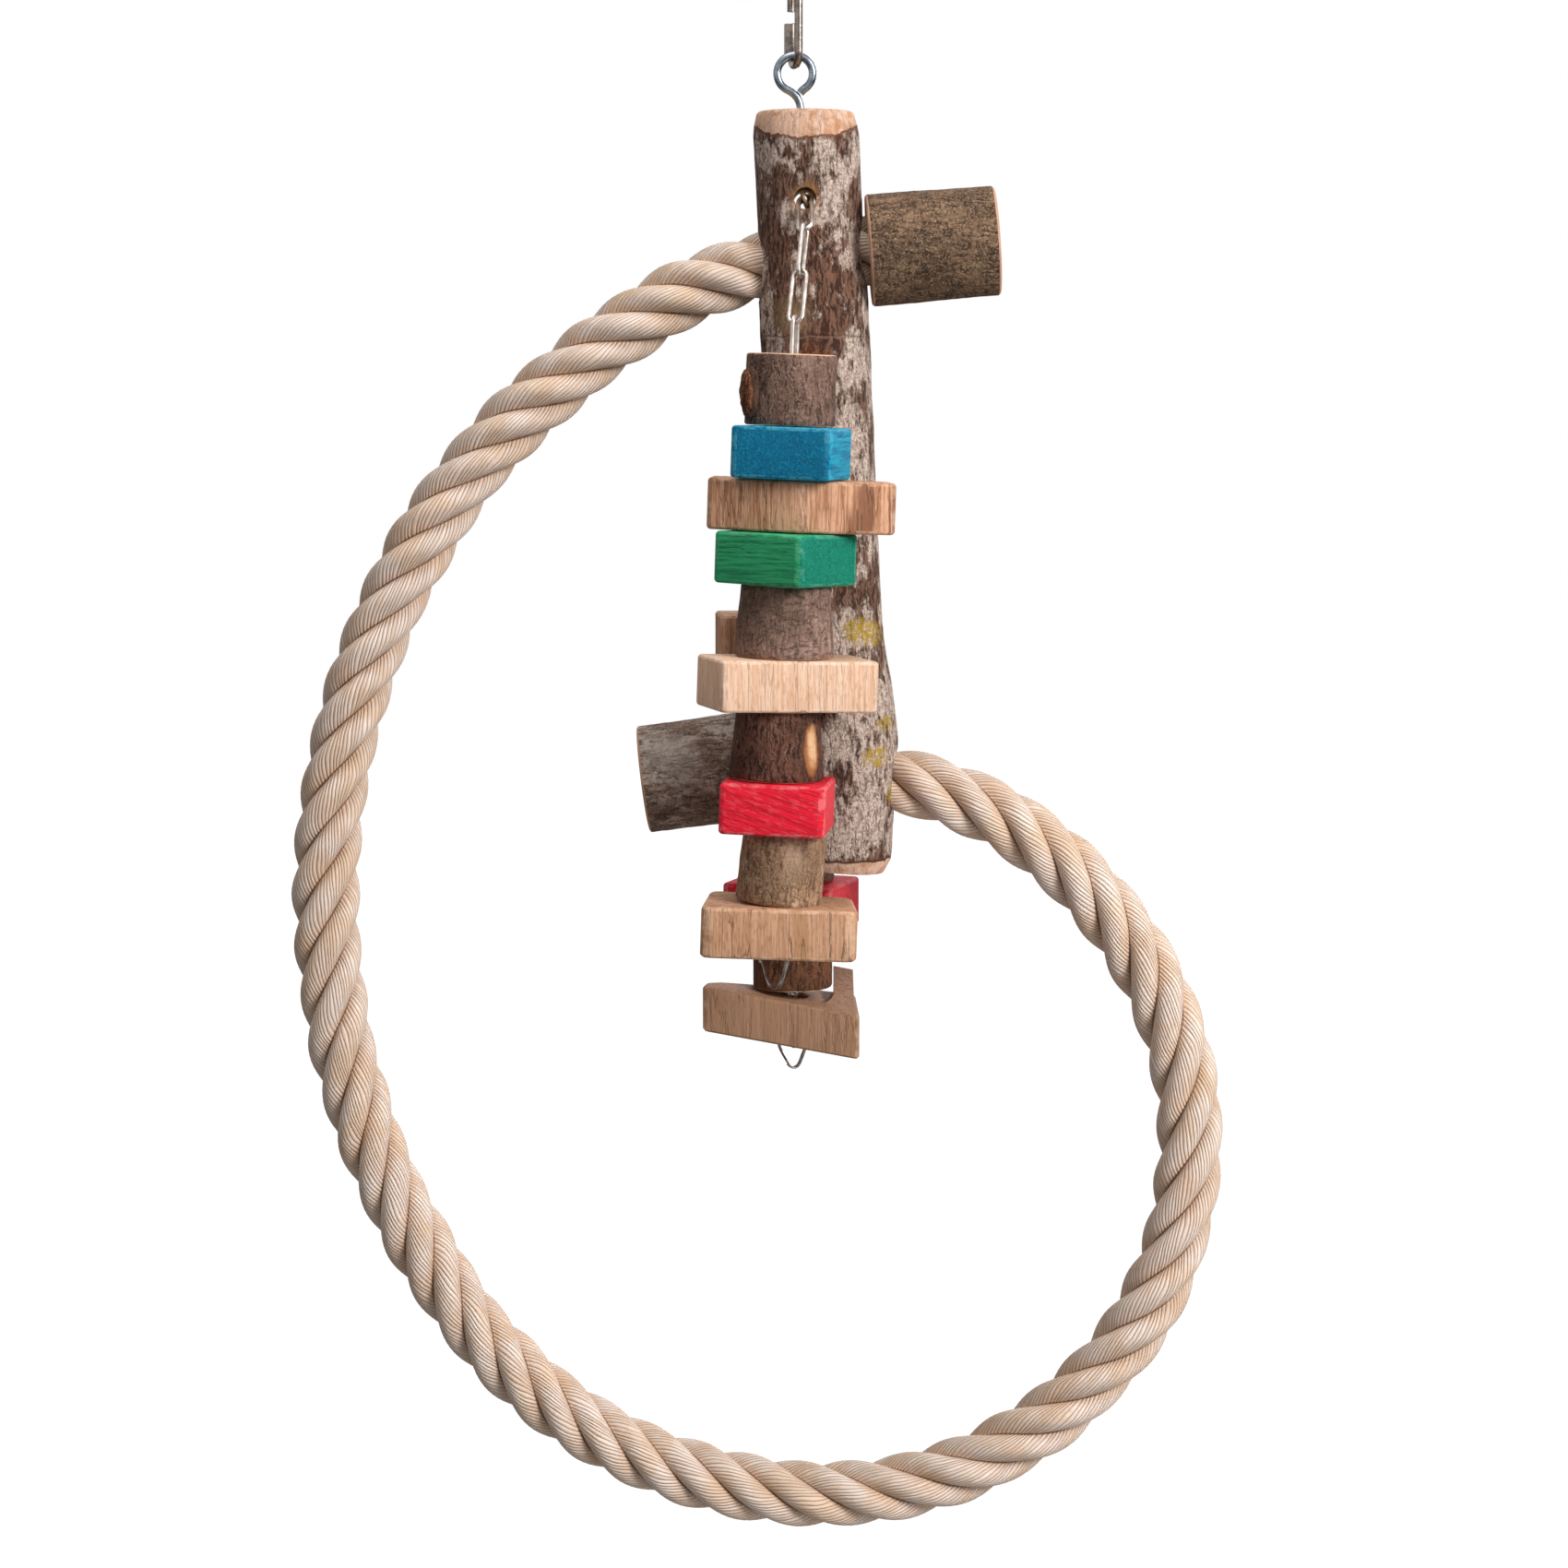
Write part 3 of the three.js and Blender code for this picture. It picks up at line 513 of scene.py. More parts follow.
upper_edge, lower_edge = -58.7 * mm, -370.8 * mm
peeled, bark_lip = (
    sum_up("MAXIMUM", step_up(from_top, *upper_limits), step_up(from_bottom, *lower_limits))
    for upper_limits, lower_limits in (
        ((upper_edge, -58.1 * mm), (lower_edge, -371.6 * mm)),
        ((-61 * mm, upper_edge), (-369.2 * mm, lower_edge)),
    )
)
wood_streak = noise(stretch(place, (1, 1, 0.08)), 700, 4, 0.6)
bare = mix_tones(step_up(wood_streak, 0.35, 0.7), tone("DAB6A0"), tone("C89C80"))
bare = tint(bare, step_up(noise(place, 150, 4), 0.5, 0.64), 0.7, "BB8158")
colour = tint(colour, bark_lip, 0.85, "6B4026")
colour = mix_tones(peeled, colour, bare)
relief = scaled(bark["Height"], sum_up("SUBTRACT", 1.1, peeled))
relief = scaled(cover, 0.25, relief)
relief = sum_up("SUBTRACT", relief, scaled(crack_ring, 0.5))
relief = sum_up("SUBTRACT", relief, scaled(peeled, 0.7))
surface(shader, colour, relief, 1.2 * mm, 0.95)


def sawn_end(name, centre, pale, dark, turn=(0, 0, 0)):
    """End grain: rings round the heart of the branch and fine pores."""
    made, tree, shader = new_finish(name, 0.8)
    place = object_place(tree)
    moved = stretch(place, location=[-c * mm for c in centre])
    moved = stretch(moved, rotation=turn)
    rings = put(
        tree, "ShaderNodeTexWave", {"wave_type": "RINGS", "rings_direction": "Z"},
        Vector=moved, Scale=75.0, Distortion=5.0, Detail=4.0, Detail_Scale=1.6,
    ).outputs["Fac"]
    pores = noise(place, 900, 3, 0.7)
    colour = tint(tone(pale), rings, 0.22, dark)
    colour = tint(colour, step_up(pores, 0.5, 0.75), 0.45, dark)
    surface(shader, colour, pores, 0.2 * mm, 0.6)
    return made


# The post's outline: each place is its drop below the top, its radius and how far it bulges to the right.
post_lean = math.tan(math.radians(2.66))
post_profile = [
    (0, 19.9, 0), (0.8, 20.9, 0), (3, 21.5, 0), (6, 22.3, 0), (10, 22.8, 0), (46, 22.6, 0), (80, 23.4, 0),
    (130, 23.5, 0), (196, 23.5, 0), (224, 23.5, 0.3), (244, 23.5, 1.4), (268, 23.5, 2.2), (290, 23.5, 1.2),
    (308, 23.5, 0.2), (317, 23.3, 0), (321, 22.6, 0), (325, 20.5, 0), (329, 18, 0),
]
post_rings = [
    (at(post_x + drop * post_lean + bulge, 0, post_top - drop), (radius + bulge) * mm, radius * mm)
    for drop, radius, bulge in reversed(post_profile)
]
post = grow_branch("post_with_bark", fill_in(post_rings, 3 * mm), 96)
post.data.materials.append(post_finish)
post.data.materials.append(sawn_end("post_sawn_end", (post_x, 0, 0), "E3C49C", "B98E63"))
make_uneven(post, 26 * mm, 1.5 * mm, (1, 1, 2.5))
make_uneven(post, 5 * mm, 0.8 * mm, (1, 1, 3))
post_length = 325
post_foot = at(post_x + post_length * post_lean, 0, post_top - post_length)
bottom_slope = Vector((0.09, 0, 1)).normalized()
edit_all(post)
bpy.ops.mesh.bisect(plane_co=post_foot, plane_no=bottom_slope, use_fill=True, clear_inner=True)
end_edit()
for face in post.data.polygons:
    if len(face.vertices) > 20:
        face.material_index = 1


def thick_line(name, points, radius, roundness, closed=False):
    """A round rod or wire along these points."""
    line = bpy.data.curves.new(name, "CURVE")
    line.dimensions = "3D"
    line.bevel_depth = radius
    line.bevel_resolution = roundness
    line.use_fill_caps = True
    spline = line.splines.new("POLY")
    spline.points.add(len(points) - 1)
    for point, place in zip(spline.points, points):
        point.co = (*place, 1)
    spline.use_cyclic_u = closed
    pick(new_object(name, line))
    bpy.ops.object.convert(target="MESH")
    return bpy.context.object


bore = thick_line("rope_bore", evenly_along(rope_points, 90)[0], 14.5 * mm, 6)
for vertex in bore.data.vertices:
    vertex.co.y *= pinched
cut_with(post, bore)
hole_front, hole_back = (at(chain_hole_x, y, chain_hole_z) for y in (-60, 60))
drill(post, hole_front, hole_back, chain_hole_radius * mm)
smooth_by_angle(post, 50)
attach(post, "post")
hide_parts("main_post")


# Knobs: two short branch slices on the rope's ends, each with a blind socket bored for the rope. The screws
# that hold them sit in the back, and their solids are kept.
def branch_bark(
    name, deep, middle, pale, pale_from, turn=(0, 0, 0), marks=(), relief=0.8, streaks=0.5, crossing=0.25,
    specks=0.25,
):
    """Thin bark: a middle tone with deep streaks and cross lines, pale scuffs above pale_from, and marks."""
    made, tree, shader = new_finish(name, 0.85)
    place = object_place(tree)
    bark = use_pattern(bark_group, stretch(place, rotation=turn))
    colour = tint(tone(middle), step_up(bark["Patch"], 0.6, 0.38), 0.45, deep)
    scuff = scaled(bark["Mottle"], 0.6, scaled(bark["Patch"], 0.8))
    colour = tint(colour, step_up(scuff, pale_from, pale_from + 0.12), 0.8, pale)
    for mask, low, high, share, code in (
        ("Streak", 0.52, 0.4, streaks, deep), ("Cross", 0.5, 0.38, crossing, deep),
        ("Fine", 0.52, 0.64, specks, pale), ("Fine", 0.46, 0.36, streaks * 0.4, deep),
        ("Mottle", 0.5, 0.38, 0.35, deep),
    ):
        colour = tint(colour, step_up(bark[mask], low, high), share, code)
    for centre, size, code, share, edge in marks:
        mask = spot(place, centre, size, edge, edge + 0.04, 300)
        colour = tint(colour, mask, share, code)
    surface(shader, colour, bark["Height"], relief * mm, 0.8)
    return made


def sawn_log(name, start, end, start_radius, end_radius, finish, end_finish, worn, bare_rim):
    """A short length of branch between two points, its sawn rims worn round and bare of bark over bare_rim."""
    length = (end - start).length
    ring_spacing, sides = 2.2 * mm, 72
    worn_rim = ((0, worn), (worn * 0.4, worn * 0.35), (worn, 0))
    profile = [(rise, start_radius - less) for rise, less in worn_rim]
    profile += [(length - rise, end_radius - less) for rise, less in reversed(worn_rim)]
    rings = [(Vector((0, 0, height)), radius, radius) for height, radius in profile]
    log = grow_branch(name, fill_in(rings, ring_spacing), sides)
    log.data.materials.append(finish)
    log.data.materials.append(end_finish)
    for face in log.data.polygons:
        from_end = min(face.center.z, length - face.center.z)
        if len(face.vertices) > 20 or from_end < bare_rim:
            face.material_index = 1
    turn = (end - start).to_track_quat("Z", "Y").to_matrix().to_4x4()
    log.data.transform(Matrix.Translation(start) @ turn)
    return log


knob_length, socket_depth, socket_radius = 55.2, 33.5, 15.4
along_x = (0, math.radians(90), 0)
upper_bark = branch_bark(
    "upper_knob_bark", "30211A", "866A52", "B4987C", 0.8, along_x, relief=1.2, streaks=0.75, crossing=0.8,
    specks=0.7,
)
lower_bark = branch_bark(
    "lower_knob_bark", "3A2A22", "AC8C78", "C8B9AE", 0.64, along_x, relief=1.0, streaks=0.7, crossing=0.45,
    specks=0.4, marks=[
        ((-56, -21, -326), (8, 12, 7), "B4A89E", 0.55, 0.9), ((-47, -22, -330), (6, 12, 9), "A89A90", 0.5, 0.9),
    ],
)
rope_middles = evenly_along(rope_points, 68)[0]
for name, first, second, finish in (
    ("upper_knob", rope_points[0], rope_middles[1], upper_bark),
    ("lower_knob", rope_points[-1], rope_middles[-2], lower_bark),
):
    inward = (second - first).normalized()
    outer_end = first + inward * (socket_depth - knob_length) * mm
    mouth = first + inward * socket_depth * mm
    turn = inward.to_track_quat("Z", "Y").inverted().to_euler()
    ends = sawn_end(name + "_sawn_end", [c / mm for c in mouth], "C89E84", "936550", tuple(turn))
    log = sawn_log(name + "_log", outer_end, mouth, 23.3 * mm, 23.9 * mm, finish, ends, 1.0 * mm, 0.9 * mm)
    make_uneven(log, 22 * mm, 0.9 * mm)
    make_uneven(log, 3 * mm, 0.35 * mm)
    drill(log, first - inward * 0.4 * mm, mouth + inward * 10 * mm, socket_radius * mm, 40)
    smooth_by_angle(log, 40)
    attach(log, "post")
    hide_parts(name)


# Wire parts: the quick link and the chain are bright stainless wire, and the screw eye is zinc plated.
def wire_finish(name, pale, dark, roughness):
    made, tree, shader = new_finish(name, roughness, 1.0)
    drawn = noise(object_place(tree), 240, 3)
    metal = mix_tones(step_up(drawn, 0.3, 0.7), tone(dark), tone(pale))
    feed(shader.inputs["Base Color"], metal)
    feed(shader.inputs["Roughness"], scaled(drawn, 0.16, roughness - 0.08))
    return made


stainless = wire_finish("stainless_wire", "D2C6BE", "A39890", 0.34)
zinc = wire_finish("zinc_plate", "9CA4AE", "6C747E", 0.28)
quick_steel = wire_finish("quick_link_steel", "968A82", "5E5650", 0.28)


def bent_wire(name, points, thickness, closed=False):
    made = thick_line(name, points, thickness / 2, 4, closed)
    edit_all(made)
    bpy.ops.mesh.remove_doubles(threshold=0.01 * mm)
    bpy.ops.mesh.normals_make_consistent(inside=False)
    end_edit()
    smooth_by_angle(made, 50)
    return made


def bend(x, z, radius, start, end, steps):
    """Points on an arc round x and z, from one angle in degrees to another."""
    angles = [math.radians(start + (end - start) * i / steps) for i in range(steps + 1)]
    return [at(x + radius * math.cos(a), 0, z + radius * math.sin(a)) for a in angles]


quick_turn = Matrix.Rotation(math.radians(102.5), 4, "Z")
corner_x, corner_radius, top_corner_z, bottom_corner_z = 2, 5, -3.2, -28.8
arm_x = corner_x + corner_radius
quick_points = [at(arm_x, 0, -18)]
for x, z, start in (
    (corner_x, bottom_corner_z, 0), (-corner_x, bottom_corner_z, -90), (-corner_x, top_corner_z, 180),
    (corner_x, top_corner_z, 90),
):
    quick_points += bend(x, z, corner_radius, start, start - 90, 10)
quick_points.append(at(arm_x, 0, -11.1))
quick_link = bent_wire("quick_link_wire", quick_points, 3.6 * mm)
thread_turns, turn_steps, thread_pitch, thread_radius, thread_top = 10, 24, 0.68, 1.72, -4.2
thread_points = []
for i in range(thread_turns * turn_steps):
    angle = 2 * math.pi * i / turn_steps
    across, deep = thread_radius * math.cos(angle), thread_radius * math.sin(angle)
    thread_points.append(at(arm_x + across, deep, thread_top - thread_pitch * i / turn_steps))
thread = bent_wire("quick_link_thread", thread_points, 0.42 * mm)
for piece in (quick_link, thread):
    piece.data.transform(quick_turn)
    piece.data.materials.append(quick_steel)
    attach(piece, "quick_link")
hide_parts("quick_link")

nut_width, nut_length, nut_middle, nut_bore = 5.9, 12.5, -22.35, 2.1
pick()
bpy.ops.mesh.primitive_cylinder_add(
    vertices=6, radius=nut_width / 2 / math.cos(math.pi / 6) * mm, depth=nut_length * mm,
    location=(arm_x * mm, 0, nut_middle * mm), rotation=(0, 0, math.radians(30)),
)
nut = bpy.context.object
nut.name = "quick_link_hexagon_nut"
bpy.ops.object.transform_apply(location=True, rotation=True, scale=True)
apply_modifier(
    nut, "BEVEL", width=0.35 * mm, segments=3, limit_method="ANGLE", angle_limit=math.radians(40),
)
drill(nut, at(arm_x, 0, -40), at(arm_x, 0, -5), nut_bore * mm, 24)
nut.data.transform(quick_turn)
smooth_by_angle(nut, 35)
nut.data.materials.append(quick_steel)
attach(nut, "quick_link_nut")
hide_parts("quick_link_nut")

eye_middle, eye_radius, shank_x, shank_end = -37.5, 7.55, 2.4, -81.8
eye_loop = bend(0, eye_middle, eye_radius, -58, 240, 48)
neck_top = eye_loop[-1].z / mm
neck_bends = [
    eye_loop[-1],
    *(at(x, 0, z) for x, z in ((-0.3, neck_top - 1.6), (shank_x, neck_top - 4), (shank_x, -52.8))),
]
neck_steps, neck = 12, []
for i in range(1, neck_steps + 1):
    t = i / neck_steps
    weights = ((1 - t) ** 3, 3 * t * (1 - t) ** 2, 3 * t * t * (1 - t), t**3)
    neck.append(sum((point * weight for point, weight in zip(neck_bends, weights)), Vector()))
eye_tip = [at(2.2, 0, -45.7), at(3.0, 0, -44.75)]
eye_points = [*eye_tip, *eye_loop, *neck, at(shank_x, 0, shank_end)]
eye = bent_wire("screw_eye_wire", eye_points, 3.5 * mm)
eye.data.materials.append(zinc)
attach(eye, "post")
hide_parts("screw_eye")


# Chain: long links of 2 mm wire, 22 mm long inside. Each hangs from the one before at a contact point of the
# solids, and the straight part of each string hangs from its last contact, which is its anchor.
link_wire, link_gap, link_half_width, link_straight = 2 * mm, 0.5 * mm, 3, 18
front_points, back_points = (
    [Vector(point) * mm for point in ((chain_hole_x, start_y, chain_hole_z), *contacts)]
    for start_y, contacts in (
        (-16.4, ((4.2, -33.57, -103.84), (2.1, -42.79, -123.15), (0, -52, -142.46))),
        (5.1, ((4.2, 24.59, -99.99), (1.75, 36.54, -117.69), (-0.7, 48.5, -135.39))),
    )
)
front_line = Matrix.Translation(front_points[3]) @ Matrix.Rotation(math.radians(2), 4, "Y")
back_line = Matrix.Translation(back_points[3])
link_points = [
    *bend(0, -2, link_half_width, 0, 180, 14), *bend(0, -2 - link_straight, link_half_width, 180, 360, 14),
]


def hang_link(node, start, end, roll, body, line=None):
    """A link from one contact to the next, rolled about its own length. A line is the place of its string."""
    link = bent_wire(node + "_wire", link_points, link_wire, closed=True)
    direction = (end - start).normalized()
    turn = Vector((0, 0, -1)).rotation_difference(direction) @ Quaternion((0, 0, 1), math.radians(roll))
    place = Matrix.Translation(start - direction * link_gap / 2) @ turn.to_matrix().to_4x4()
    link.data.transform((line or Matrix.Identity(4)) @ place)
    link.data.materials.append(stainless)
    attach(link, body)
    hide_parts(node)


hang_link("chain_link_in_post", back_points[0], front_points[0], 70, "post")
for side, contacts, first_roll in (("front", front_points, -20), ("back", back_points, 20)):
    for i, body in enumerate(("post", side + "_link_2", side + "_link_3")):
        roll = first_roll + 90 * (i % 2)
        hang_link(f"{side}_chain_link_{i + 1}", contacts[i], contacts[i + 1], roll, body)
pitch = Vector((0, 0, -21.5 * mm))
hang_link("front_chain_link_4", Vector(), pitch, 70, "front_string", front_line)
for i in range(3):
    hang_link(f"back_chain_link_{i + 4}", pitch * i, pitch * (i + 1), 110 + 90 * i, "back_string", back_line)


# Pieces whose solids already have the real shape and are hidden or tiny keep them, with their own metal finish.
for node, finish in (
    ("front_inner_chain", stainless), ("back_inner_chain", stainless),
    ("upper_knob_screw", zinc), ("lower_knob_screw", zinc),
):
    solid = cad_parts[node]
    if not solid.material_slots:
        solid.data.materials.append(finish)
    for slot in solid.material_slots:
        slot.material = finish


# Wire rings: two turns of thin wire through each string's last link. The solid's six-sided wire is rounded.
ring_wire = wire_finish("ring_wire", "A89C92", "5C524B", 0.26)


def copy_solid(node, name):
    """A free copy of a solid, its loose triangles joined."""
    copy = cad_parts[node].copy()
    copy.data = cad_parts[node].data.copy()
    copy.name = name
    copy.data.name = name
    copy.parent = None
    for key in list(copy.keys()):
        del copy[key]
    bpy.context.scene.collection.objects.link(copy)
    edit_all(copy)
    bpy.ops.mesh.remove_doubles(threshold=0.02 * mm)
    bpy.ops.mesh.customdata_custom_splitnormals_clear()
    end_edit()
    copy.data.materials.clear()
    return copy


for node, body in (("front_end_ring", "front_string"), ("back_end_ring", "back_string")):
    ring = copy_solid(node, node + "_wire")
    apply_modifier(ring, "SUBSURF", levels=1, render_levels=1)
    smooth_by_angle(ring, 60)
    ring.data.materials.append(ring_wire)
    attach(ring, body)
    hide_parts(node)


# Branch slices: thin branches sawn square and bored for the chain. Each is its top and bottom from the
# string's anchor, its two radii, its offset and lean, and its bark.
slice_bore = 5.3 * mm


def hang_slice(node, line, top, bottom, top_radius, bottom_radius, shift, lean, finish, end_finish):
    sway = math.tan(math.radians(lean)) * (top - bottom) / 2
    low = at(shift - sway, 0, bottom)
    high = at(shift + sway, 0, top)
    log = sawn_log(
        node + "_branch", low, high, bottom_radius * mm, top_radius * mm, finish, end_finish, 0.9 * mm,
        0.45 * mm,
    )
    log.data.transform(line)
    make_uneven(log, 15 * mm, 1.0 * mm)
    make_uneven(log, 2.6 * mm, 0.4 * mm, (1, 1, 2))
    drill(log, line @ at(0, 0, bottom - 4), line @ at(0, 0, top + 4), slice_bore)
    smooth_by_angle(log, 40)
    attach(log, node)
    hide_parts(node)


front_end_grain = sawn_end("front_slice_end", (-4, -52, 0), "DDB698", "9C7350")
back_end_grain = sawn_end("back_slice_end", (-0.7, 48.5, 0), "D2AD86", "97704E")
slice_1_bark = branch_bark("front_slice_1_bark", "35221B", "846658", "B89E8E", 0.84, streaks=0.8, specks=0.45)
slice_2_bark = branch_bark(
    "front_slice_2_bark", "46332A", "99796A", "BCA698", 0.8, streaks=0.55, crossing=0.75, specks=0.3,
)
slice_3_bark = branch_bark(
    "front_slice_3_bark", "28160F", "734C3C", "9C857A", 0.8, streaks=0.95, specks=0.2, relief=1.3, marks=[
        ((8.3, -69, -319.2), (4.6, 9, 13), "A56B40", 0.95, 0.12),
        ((8.5, -69.5, -317.4), (3.8, 8, 12), "E6B88C", 1.0, 0.15),
    ],
)
slice_4_bark = branch_bark(
    "front_slice_4_bark", "543E2E", "B68F6F", "D4BAA2", 0.76, streaks=0.75, crossing=0.5, specks=0.3, marks=[
        # The first mark is a painted highlight: a pale upright patch down the middle of the front.
        ((-0.9, -71, -364.5), (4, 8, 9), "D0B49A", 0.3, 0.5),
        ((-6.6, -69, -349.3), (6, 8, 6), "D09A70", 0.5, 0.4),
    ],
)
for node, top, bottom, top_radius, bottom_radius, shift, lean, finish in (
    ("front_slice_1", -14.2, -43.7, 18.8, 19, -0.9, 0, slice_1_bark),
    ("front_slice_2", -109.6, -139.6, 18.9, 20.7, 0, 0, slice_2_bark),
    ("front_slice_3", -161.8, -191.1, 17.6, 20, -1.3, 0, slice_3_bark),
    ("front_slice_4", -213.3, -243.1, 17.6, 18.2, 2.3, 3.5, slice_4_bark),
):
    hang_slice(node, front_line, top, bottom, top_radius, bottom_radius, shift, lean, finish, front_end_grain)
grey_bark = branch_bark("back_slice_bark", "3C2B22", "7C6252", "A39184", 0.8, streaks=0.7)
slice_5_bark = branch_bark(
    "back_slice_5_bark", "2E1A10", "7C5038", "987458", 0.84, streaks=0.85,
    marks=[((13.2, 32, -443.7), (7, 8, 2.6), "D9AF84", 0.9, 0.2)],
)
for i, (top, bottom, top_radius, bottom_radius) in enumerate((
    (-53.67, -83.17, 18.5, 18.8), (-105.37, -134.87, 18.8, 19.4), (-157.07, -186.57, 19.2, 18.6),
    (-226.62, -256.12, 18, 18.6), (-278.32, -304.82, 17.6, 18),
), 1):
    finish = slice_5_bark if i == 5 else grey_bark
    hang_slice(
        f"back_slice_{i}", back_line, top, bottom, top_radius, bottom_radius, 0, 0, finish, back_end_grain,
    )

# The knot on the first slice: the stub of a side twig, torn off, with a raised lip of bark round bare brown
# wood. It is one with the slice.
knot_place = at(-18.8, -62.8, -172.5)
knot_bark = branch_bark("knot_lip_bark", "35221A", "5F4335", "8A6A58", 0.8, relief=1.2)
knot_wood = branch_bark(
    "knot_torn_wood", "4C281A", "8E5838", "C4926C", 0.78, relief=2.2, streaks=0.95, specks=0.4,
)
for name, major, minor, tall, finish in (
    ("front_slice_1_knot_lip", 3.9, 1.7, 1.9, knot_bark), ("front_slice_1_knot_wood", 2.2, 2.6, 2.1, knot_wood),
):
    pick()
    bpy.ops.mesh.primitive_torus_add(
        major_segments=40, minor_segments=16, major_radius=major * mm, minor_radius=minor * mm,
        location=knot_place, rotation=(math.radians(90), 0, math.radians(-52)),
    )
    knot = bpy.context.object
    knot.name = name
    bpy.ops.object.transform_apply(location=True, rotation=True, scale=True)
    edit_all(knot)
    bpy.ops.transform.resize(value=(1, 1, tall), center_override=knot_place)
    bpy.ops.mesh.subdivide(number_cuts=1)
    end_edit()
    knot.vertex_groups.new(name="bark").add(list(range(len(knot.data.vertices))), 1.0, "REPLACE")
    make_uneven(knot, 3.4 * mm, 2.6 * mm, (1, 1, 2.4))
    make_uneven(knot, 1.3 * mm, 1.1 * mm, (1, 1, 3))
    smooth_by_angle(knot, 60)
    knot.data.materials.append(finish)
    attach(knot, "front_slice_1")


# Wood of the blocks: streaks that run with the grain, fine pores, and now and then a crack. The pattern's Z
# is the grain's direction, so a face across it shows specks and a face along it shows lines.
tree, enter = new_pattern("wood_pattern")
grain_group = tree
streak, band, pore, split = (
    noise(stretch(enter, (1, 1, drawn_out)), scale, detail, roughness)
    for drawn_out, scale, detail, roughness in (
        (0.05, 760, 4, 0.66), (0.12, 95, 3, 0.5), (0.2, 1100, 2, 0.6), (0.09, 150, 4, 0.55),
    )
)
from_split = sum_up("ABSOLUTE", sum_up("SUBTRACT", split, 0.5))
crack = step_up(from_split, 0.016, 0.002)
height = sum_up("SUBTRACT", scaled(pore, 0.6, streak), crack)
give_out(tree, Streak=streak, Band=band, Pore=pore, Crack=crack, Height=height)


def block_wood(
    name, plain, deep, band, grain, band_from, specks, speck_share, worn, cracks=0.0, end=None, end_share=0.7,
    rub=0.5, contrast=1.0,
):
    """Grain of a plain and a deep tone, broad bands, specks of open pores, an end tone and a worn edge."""
    made, tree, shader = new_finish(name, 0.72)
    place = object_place(tree)
    wood = use_pattern(grain_group, stretch(place, rotation=grain_towards(grain)))
    colour = tint(tone(plain), step_up(wood["Streak"], 0.6, 0.36), contrast, deep)
    colour = tint(colour, step_up(wood["Band"], band_from, band_from + 0.08), 0.85, band)
    if end:
        colour = tint(colour, marked(tree, "end_face"), end_share, end)
    colour = tint(colour, step_up(wood["Pore"], 0.52, 0.64), speck_share, specks)
    if cracks:
        colour = tint(colour, wood["Crack"], cracks, "5A3B27")
    rubbed = step_up(noise(place, 210, 4), 0.4, 0.62)
    colour = tint(colour, scaled(marked(tree, "edge"), rubbed), rub, worn)
    surface(shader, colour, wood["Height"], 0.35 * mm, 0.8)
    return made


def grain_towards(grain):
    """The turn that lays this direction along the pattern's Z."""
    x, y, z = Vector(grain).normalized()
    return (math.atan2(y, z), -math.asin(x), 0)


# Blocks: sawn from board, bored for the chain and tumbled, so every edge is soft. Their solids give the
# shape, and the copies get rounded edges.
def soften_block(node, finish, grain, rounding=0.55, added=None):
    """Rounds the edges, joins an added shape on, and marks the small faces of the edges and the end faces."""
    flat_face, end_cosine = 60 * mm * mm, 0.7
    block = copy_solid(node, node + "_tumbled")
    edit_all(block)
    bpy.ops.mesh.dissolve_limited(angle_limit=math.radians(1.5))
    end_edit()
    apply_modifier(
        block, "BEVEL", width=rounding * mm, segments=3, limit_method="ANGLE", angle_limit=math.radians(18),
        use_clamp_overlap=True,
    )
    if added:
        apply_modifier(block, "BOOLEAN", operation="UNION", object=added, solver="EXACT")
        bpy.data.objects.remove(added)
    along = Vector(grain).normalized()
    faces = block.data.polygons
    for name, marks in (
        ("edge", [face.area <= flat_face for face in faces]),
        ("end_face", [abs(face.normal.dot(along)) > end_cosine for face in faces]),
    ):
        block.data.attributes.new(name, "FLOAT", "FACE").data.foreach_set("value", [float(m) for m in marks])
    smooth_by_angle(block, 40)
    block.data.materials.append(finish)
    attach(block, node)
    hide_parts(node)


upright = (0, 0, 1)
blue_stain = dict(
    plain="0E98B8", deep="006A8E", band="0480A2", band_from=0.56, specks="148EB0", speck_share=0.5,
    worn="62BCD0", end="005F82", end_share=0.9, rub=0.35,
)
green_stain = dict(
    plain="30A166", deep="125A3A", band="1E8A56", band_from=0.58, specks="35A488", speck_share=0.4,
    worn="6FB898", end="00725E", end_share=0.9, rub=0.35, contrast=0.7,
)
red_stain = dict(
    plain="EE1E36", deep="B81024", band="E0182C", band_from=0.58, specks="F07C84", speck_share=0.2,
    worn="F0888C", end="DC5259", end_share=0.5, rub=0.55, contrast=0.7,
)
heartwood = dict(
    plain="D8A484", deep="A87452", band="80523A", band_from=0.53, specks="70492F", speck_share=0.3,
    worn="E0B79A", end="C9946A", end_share=0.3, cracks=0.5,
)
beech = dict(
    plain="E8C5AB", deep="D3A280", band="DEB698", band_from=0.6, specks="C08F68", speck_share=0.45,
    worn="F6DCC8", contrast=0.8,
)
cracked = dict(
    plain="CC9E7E", deep="A87858", band="B68864", band_from=0.56, specks="80533A", speck_share=0.35,
    worn="E4BE9F", cracks=0.6, contrast=0.6,
)
half_round = dict(
    plain="A67E64", deep="8C6A50", band="9C775A", band_from=0.57, specks="8A6448", speck_share=0.35,
    worn="CDA88C", cracks=0.1, contrast=0.7,
)
